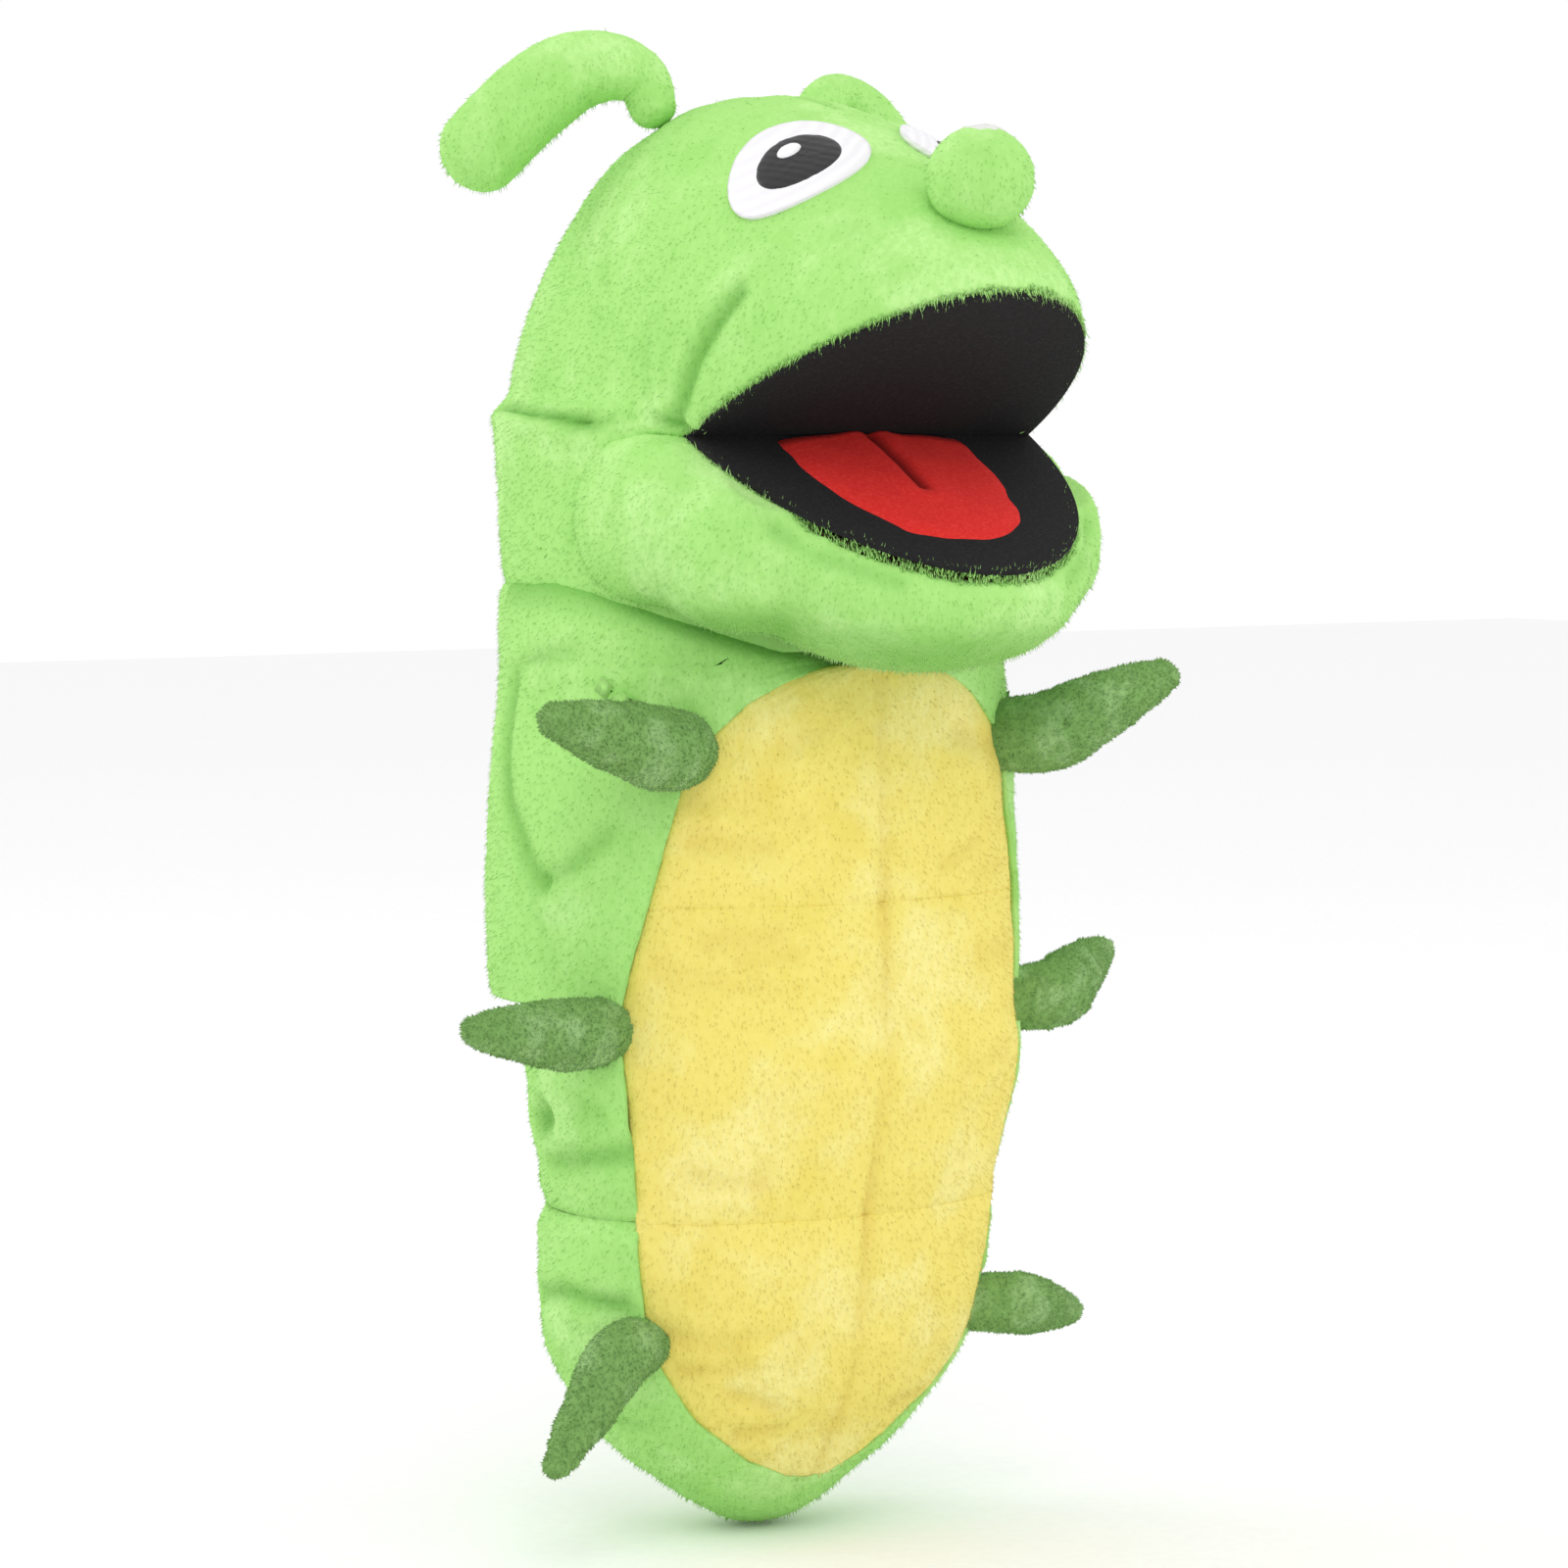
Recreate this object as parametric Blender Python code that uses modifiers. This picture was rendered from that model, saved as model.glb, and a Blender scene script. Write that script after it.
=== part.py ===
"""Grub hand puppet with a moving mouth, as the sewn, stuffed and boarded pieces it is made of.

The puppet faces -Y. The hand goes in at the back, under the hem of the back panel, and up through the
sleeve to the finger pocket over the upper mouth board and the thumb pocket under the lower one.
Shapes are worked out in design coordinates (millimetres, Z up from the tip of the tail, Y from the middle
of the sleeve), and the whole puppet then hangs from one empty that puts the hand opening at the origin.
Angles round the body run from the front (-Y) towards +X. Angles in the head turn about the mouth crease.
"""

import math

import bmesh
import bpy
from mathutils import Matrix, Vector

MM = 0.001

# Cloth and board thicknesses, and the gap left between neighbours (mm)
PLUSH = 2.0
LINING = 1.0
FELT = 1.0
BOARD = 1.6
GAP = 0.45

# The hand opening, which becomes the origin
ENTRY_Y = 42.0
ENTRY_Z = 112.0

# Heights up the body (mm)
TAIL_SEAM_Z = 78.0
WAIST_SEAM_Z = 150.0
BELLY_TOP_Z = 201.4
NECK_Z = 222.0
CHEST_TOP_Z = 204.0

# Half width, half depth and middle of the body at some heights (mm), and how square its sections are
BODY_STATIONS = (
    (0.0, 0.0, 0.0, 0.0),
    (0.8, 6.5, 5.0, 0.0),
    (3.0, 12.0, 9.5, 0.0),
    (6.5, 18.0, 14.0, 0.0),
    (10.5, 23.5, 18.5, 0.0),
    (16.0, 30.5, 23.5, 0.0),
    (22.0, 37.0, 27.5, 0.0),
    (34.0, 47.0, 33.0, -1.0),
    (46.0, 53.0, 36.5, -2.5),
    (60.0, 55.5, 38.5, -4.0),
    (80.0, 57.0, 40.0, -6.0),
    (100.0, 59.5, 41.0, -8.5),
    (113.0, 61.5, 43.0, -8.5),
    (124.0, 63.0, 48.5, -1.5),
    (144.0, 63.5, 50.0, 0.0),
    (180.0, 62.0, 50.0, 0.0),
    (200.0, 60.0, 49.5, 0.5),
    (222.0, 58.0, 51.5, 2.5),
    (256.0, 58.5, 54.0, 4.0),
)
BODY_POWER = 0.9
BODY_MIDDLE_Y = -4.0

# Half angle of the yellow belly at some heights (mm, degrees)
BELLY_STATIONS = (
    (13.4, 0.0),
    (14.6, 12.0),
    (18.5, 30.0),
    (30.0, 46.0),
    (47.0, 57.0),
    (70.0, 62.0),
    (113.0, 65.0),
    (150.0, 53.0),
    (184.0, 43.0),
    (195.0, 33.0),
    (200.4, 12.0),
    (201.4, 0.0),
)

# Heights of the rows that the tail and the chest are drawn in: the belly starts at one and stops at another
TAIL_ROWS = (0.0, 0.8, 3.0, 6.5, 10.5, 13.4, 14.6, 18.5, 25.0, 33.0, 42.0, 53.0, 65.0, 76.7)
TAIL_BELLY_ROW = 6
TAIL_FOOT_ROW = 2
CHEST_ROWS = (151.3, 157, 163, 169, 175, 180, 185, 189, 193, 196, 198.4, 200.4, 201.4, 203.6)
CHEST_BELLY_ROWS = 11
MIDDLE_ROWS = (0, 1, 2, 3, 4, 5, 6, 7, 8, 9)

# The waist and tail seams: where each one's hinge crosses the front, and how each side of it falls away
# towards the back. The wide angle at the waist is the way in for the hand.
WAIST_Y = -47.0
WAIST_UPPER_FALL = 0.281
WAIST_LOWER_FALL = 0.53
TAIL_Y = -44.0
TAIL_RISE = 0.05
SEAM_HALF_GAP = 1.3

# Head and jaw: angle up from straight ahead, reach from the mouth crease, half width, roundness (deg, mm)
CREASE_Y = -40.0
CREASE_Z = 255.5
CORNER_HALF_WIDTH = 48.0
UPPER_TILT = 28.0
LOWER_TILT = -29.0
HEAD_STATIONS = (
    (28.0, 69.0, 48.5, 1.05),
    (39.0, 67.5, 50.0, 1.0),
    (50.0, 65.0, 51.0, 0.97),
    (64.0, 64.0, 53.0, 0.95),
    (78.0, 66.5, 54.0, 0.93),
    (95.0, 74.0, 55.5, 0.93),
    (112.0, 84.0, 56.5, 0.92),
    (125.0, 91.0, 57.0, 0.9),
    (135.0, 95.0, 57.0, 0.88),
    (150.0, 97.0, 58.0, 0.83),
    (165.0, 99.0, 59.5, 0.78),
    (180.0, 99.0, 60.0, 0.74),
)
JAW_STATIONS = (
    (-85.0, 50.0, 52.0, 0.9),
    (-66.0, 56.5, 54.0, 0.88),
    (-52.0, 64.0, 54.5, 0.88),
    (-42.0, 67.3, 54.0, 0.9),
    (-35.0, 67.3, 52.0, 0.95),
    (-29.0, 64.5, 48.5, 1.05),
)
BACK_OF_HEAD = 178.0
BACK_OF_JAW = -66.0
LIP_LIFT = 2.2

# Legs: height, angle round the body, radius and length (mm, degrees), then the way each side's leg points,
# as outwards, backwards and up
LEG_ROWS = {
    "front": (185.5, 45.0, 9.4, (39.0, 0.93, -0.1, 0.36), (37.0, 0.96, -0.1, 0.24)),
    "middle": (122.0, 66.0, 8.2, (34.0, 0.85, 0.45, 0.26), (32.0, 0.98, -0.1, 0.1)),
    "rear": (50.0, 60.0, 7.4, (32.0, 0.9, 0.38, -0.2), (33.0, 0.64, -0.1, -0.76)),
}
LEG_TIP_RADIUS = 5.0
LEG_DOME = 6.6
LEG_STANDOFF = 8.4

# Antennae: the route of each from its seam on the crown to its tip, and its radius there (mm)
ANTENNA_ROUTES = {
    "left": (
        (23.0, 8.0, 331.0, 4.6),
        (29.5, 9.0, 334.5, 5.2),
        (38.0, 10.5, 331.0, 6.2),
        (45.5, 12.5, 322.5, 7.6),
        (51.5, 15.0, 311.5, 8.4),
        (55.5, 17.0, 299.5, 8.2),
    ),
    "right": (
        (-23.0, 8.0, 331.0, 4.6),
        (-25.0, 9.5, 337.0, 5.4),
        (-31.0, 12.5, 340.0, 6.6),
        (-40.0, 16.5, 338.5, 8.0),
        (-50.0, 21.0, 331.0, 8.6),
        (-58.5, 26.0, 321.0, 8.4),
    ),
}
NOSE_CENTRE = Vector((0.0, -87.0, 314.0))
NOSE_RADIUS = 11.5
NOSE_FOOT = 8.6

# Eye patch: middle and size, as angles at the mouth crease (degrees)
EYE_SIDE = 65.0
EYE_TILT = 80.0
EYE_HALF_SIDE = 12.0
EYE_HALF_TILT = 16.0

# Pockets: half width, height and length (mm)
FINGER_POCKET = (36.0, 16.0, 44.0)
THUMB_POCKET = (23.0, 12.0, 40.0)

GREEN = (0.42, 0.83, 0.26)
YELLOW = (0.90, 0.80, 0.22)
LEG_GREEN = (0.20, 0.36, 0.13)
BLACK = (0.012, 0.012, 0.012)
RED = (0.80, 0.03, 0.03)
WHITE = (0.85, 0.85, 0.85)
FIBRE = (0.90, 0.90, 0.88)
CARD = (0.55, 0.45, 0.32)


def clear_scene():
    for thing in list(bpy.data.objects):
        bpy.data.objects.remove(thing)


def between(low, high, share):
    return low + (high - low) * share


def woven(values, place):
    """A smooth (Catmull-Rom) value between rows of values, at a place counted in rows."""
    last = len(values) - 1
    i = min(int(place), last - 1)
    t = place - i
    a, b, c, d = (values[min(max(k, 0), last)] for k in (i - 1, i, i + 1, i + 2))
    return 0.5 * (
        2 * b + (c - a) * t + (2 * a - 5 * b + 4 * c - d) * t**2 + (3 * b - 3 * c + d - a) * t**3
    )


def station(rows, at, smooth=True):
    """The values of a table at a place in its first column."""
    at = min(max(at, rows[0][0]), rows[-1][0])
    i = max(k for k in range(len(rows) - 1) if rows[k][0] <= at)
    share = (at - rows[i][0]) / (rows[i + 1][0] - rows[i][0])
    if smooth:
        return tuple(woven([row[c] for row in rows], i + share) for c in range(1, len(rows[0])))
    return tuple(between(a, b, share) for a, b in zip(rows[i][1:], rows[i + 1][1:]))


def squared(value, power):
    return math.copysign(abs(value) ** power, value)


def body_point(angle, z, inset=0.0):
    """A point on the body at an angle in degrees from the front, inset from the surface."""
    half_width, half_depth, middle = station(BODY_STATIONS, z)
    turn = math.radians(angle)
    x = max(half_width - inset, 0.0) * squared(math.sin(turn), BODY_POWER)
    y = middle - max(half_depth - inset, 0.0) * squared(math.cos(turn), BODY_POWER)
    return Vector((x, y, z))


def belly_angle(z):
    """Half angle of the belly at a height, which is nothing above and below it."""
    if z <= BELLY_STATIONS[0][0] or z >= BELLY_TOP_Z:
        return 0.0
    return station(BELLY_STATIONS, z, smooth=False)[0]


def seam_margin(z):
    """The angle that leaves half a seam's gap at a height."""
    return min(math.degrees(GAP / max(station(BODY_STATIONS, z)[1], 1.0)), 3.0)


def chest_top(angle):
    """Height of the neck seam: low at the throat and level from the side seams back."""
    front = max(math.cos(math.radians(angle)), 0.0)
    return NECK_Z - (NECK_Z - CHEST_TOP_Z) * front**2


def above_waist(y):
    return WAIST_SEAM_Z + SEAM_HALF_GAP - WAIST_UPPER_FALL * (y - WAIST_Y)


def below_waist(y):
    return WAIST_SEAM_Z - SEAM_HALF_GAP - WAIST_LOWER_FALL * (y - WAIST_Y)


def above_tail_seam(y):
    return TAIL_SEAM_Z + SEAM_HALF_GAP + TAIL_RISE * (y - TAIL_Y)


def below_tail_seam(y):
    return TAIL_SEAM_Z - SEAM_HALF_GAP - TAIL_RISE * (y - TAIL_Y)


def tail_tip(_):
    return 0.0


def rising_share(rows, v):
    """How far up from its first row to its last a piece is at v, when it has a row at each height."""
    height = station([(k / (len(rows) - 1), row) for k, row in enumerate(rows)], v, smooth=False)[0]
    return (height - rows[0]) / (rows[-1] - rows[0])


def rising_point(angle_at, share, low, high, inset=0.0):
    """A body point part of the way up between two seams that fall away towards the back."""
    z = between(low(0.0), high(0.0), share)
    for _ in range(5):
        y = body_point(angle_at(z), z, inset).y
        z = between(low(y), high(y), share)
    return body_point(angle_at(z), z, inset)


def crease_point(rows, side, tilt, inset=0.0):
    """A point of the head or jaw: side runs 0 to 180 degrees from +X to -X, tilt turns from forwards up."""
    reach, half_width, power = station(rows, tilt)
    t, phi = math.radians(side), math.radians(tilt)
    out = max(math.sin(t), 0.0)
    width = between(CORNER_HALF_WIDTH, half_width, out**0.6)
    across = squared(math.cos(t), power) * width
    ahead = Vector((0.0, -math.cos(phi), math.sin(phi)))
    point = Vector((across, CREASE_Y, CREASE_Z)) + ahead * reach * out**power
    if not inset:
        return point
    side = min(max(side, 1.0), 179.0)
    steps = ((side - 0.5, tilt), (side + 0.5, tilt), (side, tilt - 0.5), (side, tilt + 0.5))
    a, b, c, d = (crease_point(rows, *step) for step in steps)
    return point - (b - a).cross(c - d).normalized() * inset


def head_point(side, tilt, inset=0.0):
    return crease_point(HEAD_STATIONS, side, tilt, inset)


def jaw_point(side, tilt, inset=0.0):
    return crease_point(JAW_STATIONS, side, tilt, inset)


def mirrored(surface, sign):
    """A surface for +X, or the same one for -X, with its outer side kept outside."""
    if sign > 0:
        return surface

    def other(u, v):
        point = surface(1.0 - u, v)
        return Vector((-point.x, point.y, point.z))

    return other


class Puppet:
    """Makes the pieces and hangs them all from one empty, so that the hand opening is the origin."""

    def __init__(self):
        self.collection = bpy.data.collections.new("grub_hand_puppet")
        bpy.context.scene.collection.children.link(self.collection)
        self.frame = self.empty("puppet_frame", (0.0, -ENTRY_Y * MM, -ENTRY_Z * MM), None)
        self.joints = {}

    def empty(self, name, place, parent):
        found = bpy.data.objects.new(name, None)
        found.location = place
        found.parent = parent
        self.collection.objects.link(found)
        return found

    def joint(self, name, place):
        """An empty on a joint's axis, at a place in design millimetres. Its pieces are parented to it."""
        self.joints[name] = self.empty(name, Vector(place) * MM, self.frame)

    def add(self, name, mesh, material, joint=None):
        """Puts a mesh of design metres in the scene, with its origin on its joint."""
        piece = bpy.data.objects.new(name, mesh)
        self.collection.objects.link(piece)
        piece.parent = self.joints[joint] if joint else self.frame
        if joint:
            mesh.transform(Matrix.Translation(-self.joints[joint].location))
        mesh.name = name
        mesh.materials.append(material)
        mesh.shade_smooth()
        mesh.set_sharp_from_angle(angle=math.radians(45))
        return piece

    def cloth(self, name, mesh, wall, material, joint=None):
        """A piece of cloth: a mesh thickened by wall mm inwards."""
        piece = self.add(name, mesh, material, joint)
        thicken = piece.modifiers.new("cloth", "SOLIDIFY")
        thicken.thickness = wall * MM
        thicken.offset = -1.0
        thicken.use_even_offset = True
        return piece

    def panel(self, name, surface, steps, wall, material, joint=None):
        """A cloth panel bent onto surface(u, v), each 0 to 1."""
        return self.cloth(name, bent_grid(surface, steps), wall, material, joint)

    def stuffed(self, name, surface, steps, wall, materials, joint):
        """A cover, open at its foot where it is sewn on, and the filling inside it."""
        shape = bent_grid(surface, steps)
        self.cloth(name + "_cover", without_foot(shape.copy(), surface), wall, materials[0], joint)
        self.add(name + "_stuffing", shrunk(shape, wall + GAP), materials[1], joint)

    def plate(self, name, outline, thickness, lift, tilt, material, joint):
        """A flat piece in a plane at the mouth crease, from an outline in mm across and forwards."""
        curve = bpy.data.curves.new(name, "CURVE")
        curve.dimensions = "2D"
        curve.fill_mode = "BOTH"
        curve.extrude = thickness * MM / 2
        spline = curve.splines.new("POLY")
        spline.points.add(len(outline) - 1)
        for point, (across, forwards) in zip(spline.points, outline):
            point.co = (across * MM, -forwards * MM, 0.0, 1.0)
        spline.use_cyclic_u = True
        holder = bpy.data.objects.new(name + "_outline", curve)
        self.collection.objects.link(holder)
        bpy.context.view_layer.update()
        drawn = holder.evaluated_get(bpy.context.evaluated_depsgraph_get())
        flat = bpy.data.meshes.new_from_object(drawn)
        bpy.data.objects.remove(holder)
        at_crease = Matrix.Translation(Vector((0.0, CREASE_Y, CREASE_Z)) * MM)
        turn = Matrix.Rotation(math.radians(-tilt), 4, "X")
        flat.transform(at_crease @ turn @ Matrix.Translation((0.0, 0.0, lift * MM)))
        weld(flat)
        return self.add(name, flat, material, joint)


def weld(mesh):
    """Joins a mesh's loose edges and turns its faces outwards."""
    bm = bmesh.new()
    bm.from_mesh(mesh)
    bmesh.ops.remove_doubles(bm, verts=bm.verts, dist=1e-6)
    bmesh.ops.recalc_face_normals(bm, faces=bm.faces)
    bm.to_mesh(mesh)
    bm.free()


def bent_grid(surface, steps):
    """A flat grid bent onto surface(u, v) in mm. Points that meet, as at a seam or a tip, are joined."""
    bm = bmesh.new()
    bmesh.ops.create_grid(bm, x_segments=steps[0], y_segments=steps[1], size=0.5)
    for vert in bm.verts:
        vert.co = Vector(surface(vert.co.x + 0.5, vert.co.y + 0.5)) * MM
    bmesh.ops.remove_doubles(bm, verts=bm.verts, dist=1e-5)
    bmesh.ops.dissolve_degenerate(bm, edges=bm.edges, dist=1e-6)
    mesh = bpy.data.meshes.new("bent")
    bm.to_mesh(mesh)
    bm.free()
    return mesh


def without_foot(mesh, surface):
    """The same mesh with the faces round the foot of its surface taken away."""
    foot = Vector(surface(0.0, 0.0)) * MM
    bm = bmesh.new()
    bm.from_mesh(mesh)
    nearest = min(bm.verts, key=lambda vert: (vert.co - foot).length)
    bmesh.ops.delete(bm, geom=[nearest], context="VERTS")
    bm.to_mesh(mesh)
    bm.free()
    return mesh


def shrunk(mesh, inset):
    """A closed mesh moved inwards all over by inset mm."""
    bm = bmesh.new()
    bm.from_mesh(mesh)
    bm.normal_update()
    moves = [vert.normal * vert.calc_shell_factor() * inset * MM for vert in bm.verts]
    for vert, move in zip(bm.verts, moves):
        vert.co -= move
    bm.to_mesh(mesh)
    bm.free()
    return mesh


def cloth(name, colour, roughness=0.9):
    """A matt cloth material."""
    made = bpy.data.materials.new(name)
    made.use_nodes = True
    shader = made.node_tree.nodes["Principled BSDF"]
    shader.inputs["Base Color"].default_value = (*colour, 1.0)
    shader.inputs["Roughness"].default_value = roughness
    shader.inputs["Metallic"].default_value = 0.0
    made.diffuse_color = (*colour, 1.0)
    return made


def make_sleeve(puppet, m):
    """The part that the hand wears: back and side panels, upper belly, padding, lining and hem."""

    def back(u, v):
        return rising_point(lambda z: between(90.5, 269.5, u), v, above_waist, neck_below)

    def neck_below(_):
        return NECK_Z - GAP

    puppet.panel("back_panel", back, (18, 8), PLUSH, m["plush_green"])

    def hem(u, v):
        angle = between(92.0, 268.0, u)
        low = above_waist(body_point(angle, 128.0).y)
        return body_point(angle, low + 0.5 + 8.0 * v, PLUSH + 3 * GAP)

    puppet.panel("sleeve_hem", hem, (20, 2), LINING, m["lining_green"])

    def row(v, last):
        return rising_share(CHEST_ROWS, v * last / (len(CHEST_ROWS) - 1))

    def side(u, v):
        def angle(z):
            return between(belly_angle(z) + seam_margin(z), 89.5, u)

        def high(_):
            flat = between(seam_margin(NECK_Z), 89.5, u)
            return between(CHEST_TOP_Z, chest_top(flat), min(3.0 * u, 1.0)) - GAP

        return rising_point(angle, row(v, len(CHEST_ROWS) - 1), above_waist, high)

    def belly(u, v):
        def angle(z):
            return between(seam_margin(z), belly_angle(z) - seam_margin(z), u)

        return rising_point(angle, row(v, CHEST_BELLY_ROWS), above_waist, lambda _: CHEST_TOP_Z - GAP)

    for name, sign in (("left", 1.0), ("right", -1.0)):
        puppet.panel(
            "side_panel_" + name, mirrored(side, sign), (12, len(CHEST_ROWS) - 1), PLUSH, m["plush_green"]
        )
        puppet.panel(
            "belly_upper_" + name, mirrored(belly, sign), (8, CHEST_BELLY_ROWS), PLUSH, m["plush_yellow"]
        )

    def padding(u, v):
        angle = between(-80.0, 80.0, u)
        return rising_point(
            lambda z: angle,
            between(0.04, 0.93, v),
            above_waist,
            lambda _: chest_top(angle),
            PLUSH + 2 * GAP,
        )

    puppet.panel("chest_padding", padding, (16, 6), 4.0, m["wadding"])

    def lining(u, v):
        angle = 360.0 * u
        return rising_point(
            lambda z: angle,
            between(0.1, 0.93, v),
            above_waist,
            lambda _: chest_top(angle),
            PLUSH + 4.0 + 4 * GAP,
        )

    puppet.panel("sleeve_lining", lining, (24, 6), LINING, m["lining_green"])


def make_neck(puppet, m):
    """The cloth that follows the head and jaw: the band round the neck, the throat, and the flanks."""

    def band(u, v):
        angle, t = between(76.0, 284.0, u), between(4.0, 176.0, u)
        low = body_point(angle, chest_top(angle) + GAP)
        high = head_point(t, BACK_OF_HEAD) - Vector((0.0, 0.0, 1.6))
        return low.lerp(high, v)

    puppet.panel("neck_band", band, (20, 3), PLUSH, m["plush_green"])

    def throat(u, v):
        angle, t = between(-74.0, 74.0, u), between(174.0, 6.0, u)
        low = body_point(angle, chest_top(angle) + 1.8, 1.5)
        high = jaw_point(t, BACK_OF_JAW - 2.0)
        return low.lerp(high, v)

    puppet.panel("throat_panel", throat, (18, 3), PLUSH, m["plush_green"])

    def flank(u, v):
        low_edge = belly_angle(136.0) + 2.0
        angle = between(low_edge, 88.5, u)
        return rising_point(
            lambda z: angle,
            v,
            lambda y: below_waist(y) + 1.0,
            lambda y: max(above_waist(y) - 1.0, below_waist(y) + 1.4),
        )

    for name, sign in (("left", 1.0), ("right", -1.0)):
        puppet.panel("flank_" + name, mirrored(flank, sign), (8, 3), PLUSH, m["plush_green"])


def segment_skin(low, high, rows):
    """The green cloth of a stuffed segment, from one edge of the belly round the back to the other."""

    def surface(u, v):
        def angle(z):
            edge = belly_angle(z) + seam_margin(z)
            return between(edge, 360.0 - edge, u)

        return rising_point(angle, rising_share(rows, v), low, high)

    return surface


def segment_belly(low, high, rows, first):
    """Half of a segment's belly, in rows that match those of the skin beside it."""

    def surface(u, v):
        def angle(z):
            return between(seam_margin(z), belly_angle(z) - seam_margin(z), u)

        share = rising_share(rows, between(first / (len(rows) - 1), 1.0, v))
        return rising_point(angle, share, low, high)

    return surface


def plug(low, high, rows):
    """A stuffed segment: from the middle of its foot, up its side, to the middle of its top."""

    def surface(u, v):
        share = rising_share(rows, min(max((v - 0.2) / 0.6, 0.0), 1.0))
        rim = rising_point(lambda z: 360.0 * u, share, low, high)
        if 0.2 <= v <= 0.8:
            return rim
        spread = v / 0.2 if v < 0.2 else (1.0 - v) / 0.2
        y = between(BODY_MIDDLE_Y, rim.y, spread)
        return Vector((rim.x * spread, y, low(y) if v < 0.2 else high(y)))

    return surface


def make_segments(puppet, m):
    """The two stuffed segments below the hand opening, each on a quilted seam that it folds at."""
    puppet.joint("waist_bend", (0.0, WAIST_Y, WAIST_SEAM_Z))
    puppet.joint("tail_bend", (0.0, TAIL_Y, TAIL_SEAM_Z))
    segments = (
        ("middle", above_tail_seam, below_waist, MIDDLE_ROWS, 0, "waist_bend"),
        ("tail", tail_tip, below_tail_seam, TAIL_ROWS, TAIL_BELLY_ROW, "tail_bend"),
    )
    for name, low, high, rows, first, joint in segments:
        count = len(rows) - 1
        skin = segment_skin(low, high, rows)
        puppet.panel(name + "_skin", skin, (26, count), PLUSH, m["plush_green"], joint)
        for side, sign in (("left", 1.0), ("right", -1.0)):
            belly = mirrored(segment_belly(low, high, rows, first), sign)
            steps = (8, count - first)
            puppet.panel("belly_%s_%s" % (name, side), belly, steps, PLUSH, m["plush_yellow"], joint)
        foot = TAIL_FOOT_ROW if first else 0
        raised = (lambda _: rows[TAIL_FOOT_ROW]) if first else low
        filling = shrunk(bent_grid(plug(raised, high, rows[foot:]), (24, 15)), PLUSH + 3 * GAP)
        puppet.add(name + "_stuffing", filling, m["fibre"], joint)

    def slope(u, v):
        rim = rising_point(lambda z: 360.0 * u, 1.0, tail_tip, below_waist, PLUSH + 3 * GAP)
        y = between(rim.y, BODY_MIDDLE_Y, v)
        return Vector((rim.x * (1.0 - v), y, below_waist(y)))

    puppet.panel("hand_rest_cloth", slope, (24, 4), LINING, m["lining_green"], "waist_bend")


def mouth_outline(point, tilt, inset, steps=22):
    """The U of a mouth plane inside the lips: across and forwards from the crease, in mm."""
    crease = Vector((0.0, CREASE_Y, CREASE_Z))
    outline = []
    for i in range(steps + 1):
        flat = point(between(5.0, 175.0, i / steps), tilt, inset) - crease
        outline.append((flat.x, max(math.hypot(flat.y, flat.z), 5.5)))
    return outline


def pocket(size, tilt, up):
    """A pocket on a mouth board: an arch, open at the back, that narrows to a closed front."""
    half_width, height, length = size

    def surface(u, v):
        turn = math.pi * (u if up > 0 else 1.0 - u)
        full = math.sqrt(1.0 - (0.995 * v) ** 4)
        forwards = between(8.0, length, v)
        lift = up * (LIP_LIFT + BOARD + 2.6 + height * full * math.sin(turn))
        phi = math.radians(tilt)
        return Vector(
            (
                half_width * full * math.cos(turn),
                CREASE_Y - forwards * math.cos(phi) + lift * math.sin(phi),
                CREASE_Z + forwards * math.sin(phi) + lift * math.cos(phi),
            )
        )

    return surface


def patch(side, tilt, half_side, half_tilt, lift):
    """An oval sewn on the head: u goes round it and v in to its middle."""

    def surface(u, v):
        turn, out = 2 * math.pi * u, 1.0 - v
        at = (side + half_side * out * math.cos(turn), tilt + half_tilt * out * math.sin(turn))
        return head_point(*at, -lift)

    return surface


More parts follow.
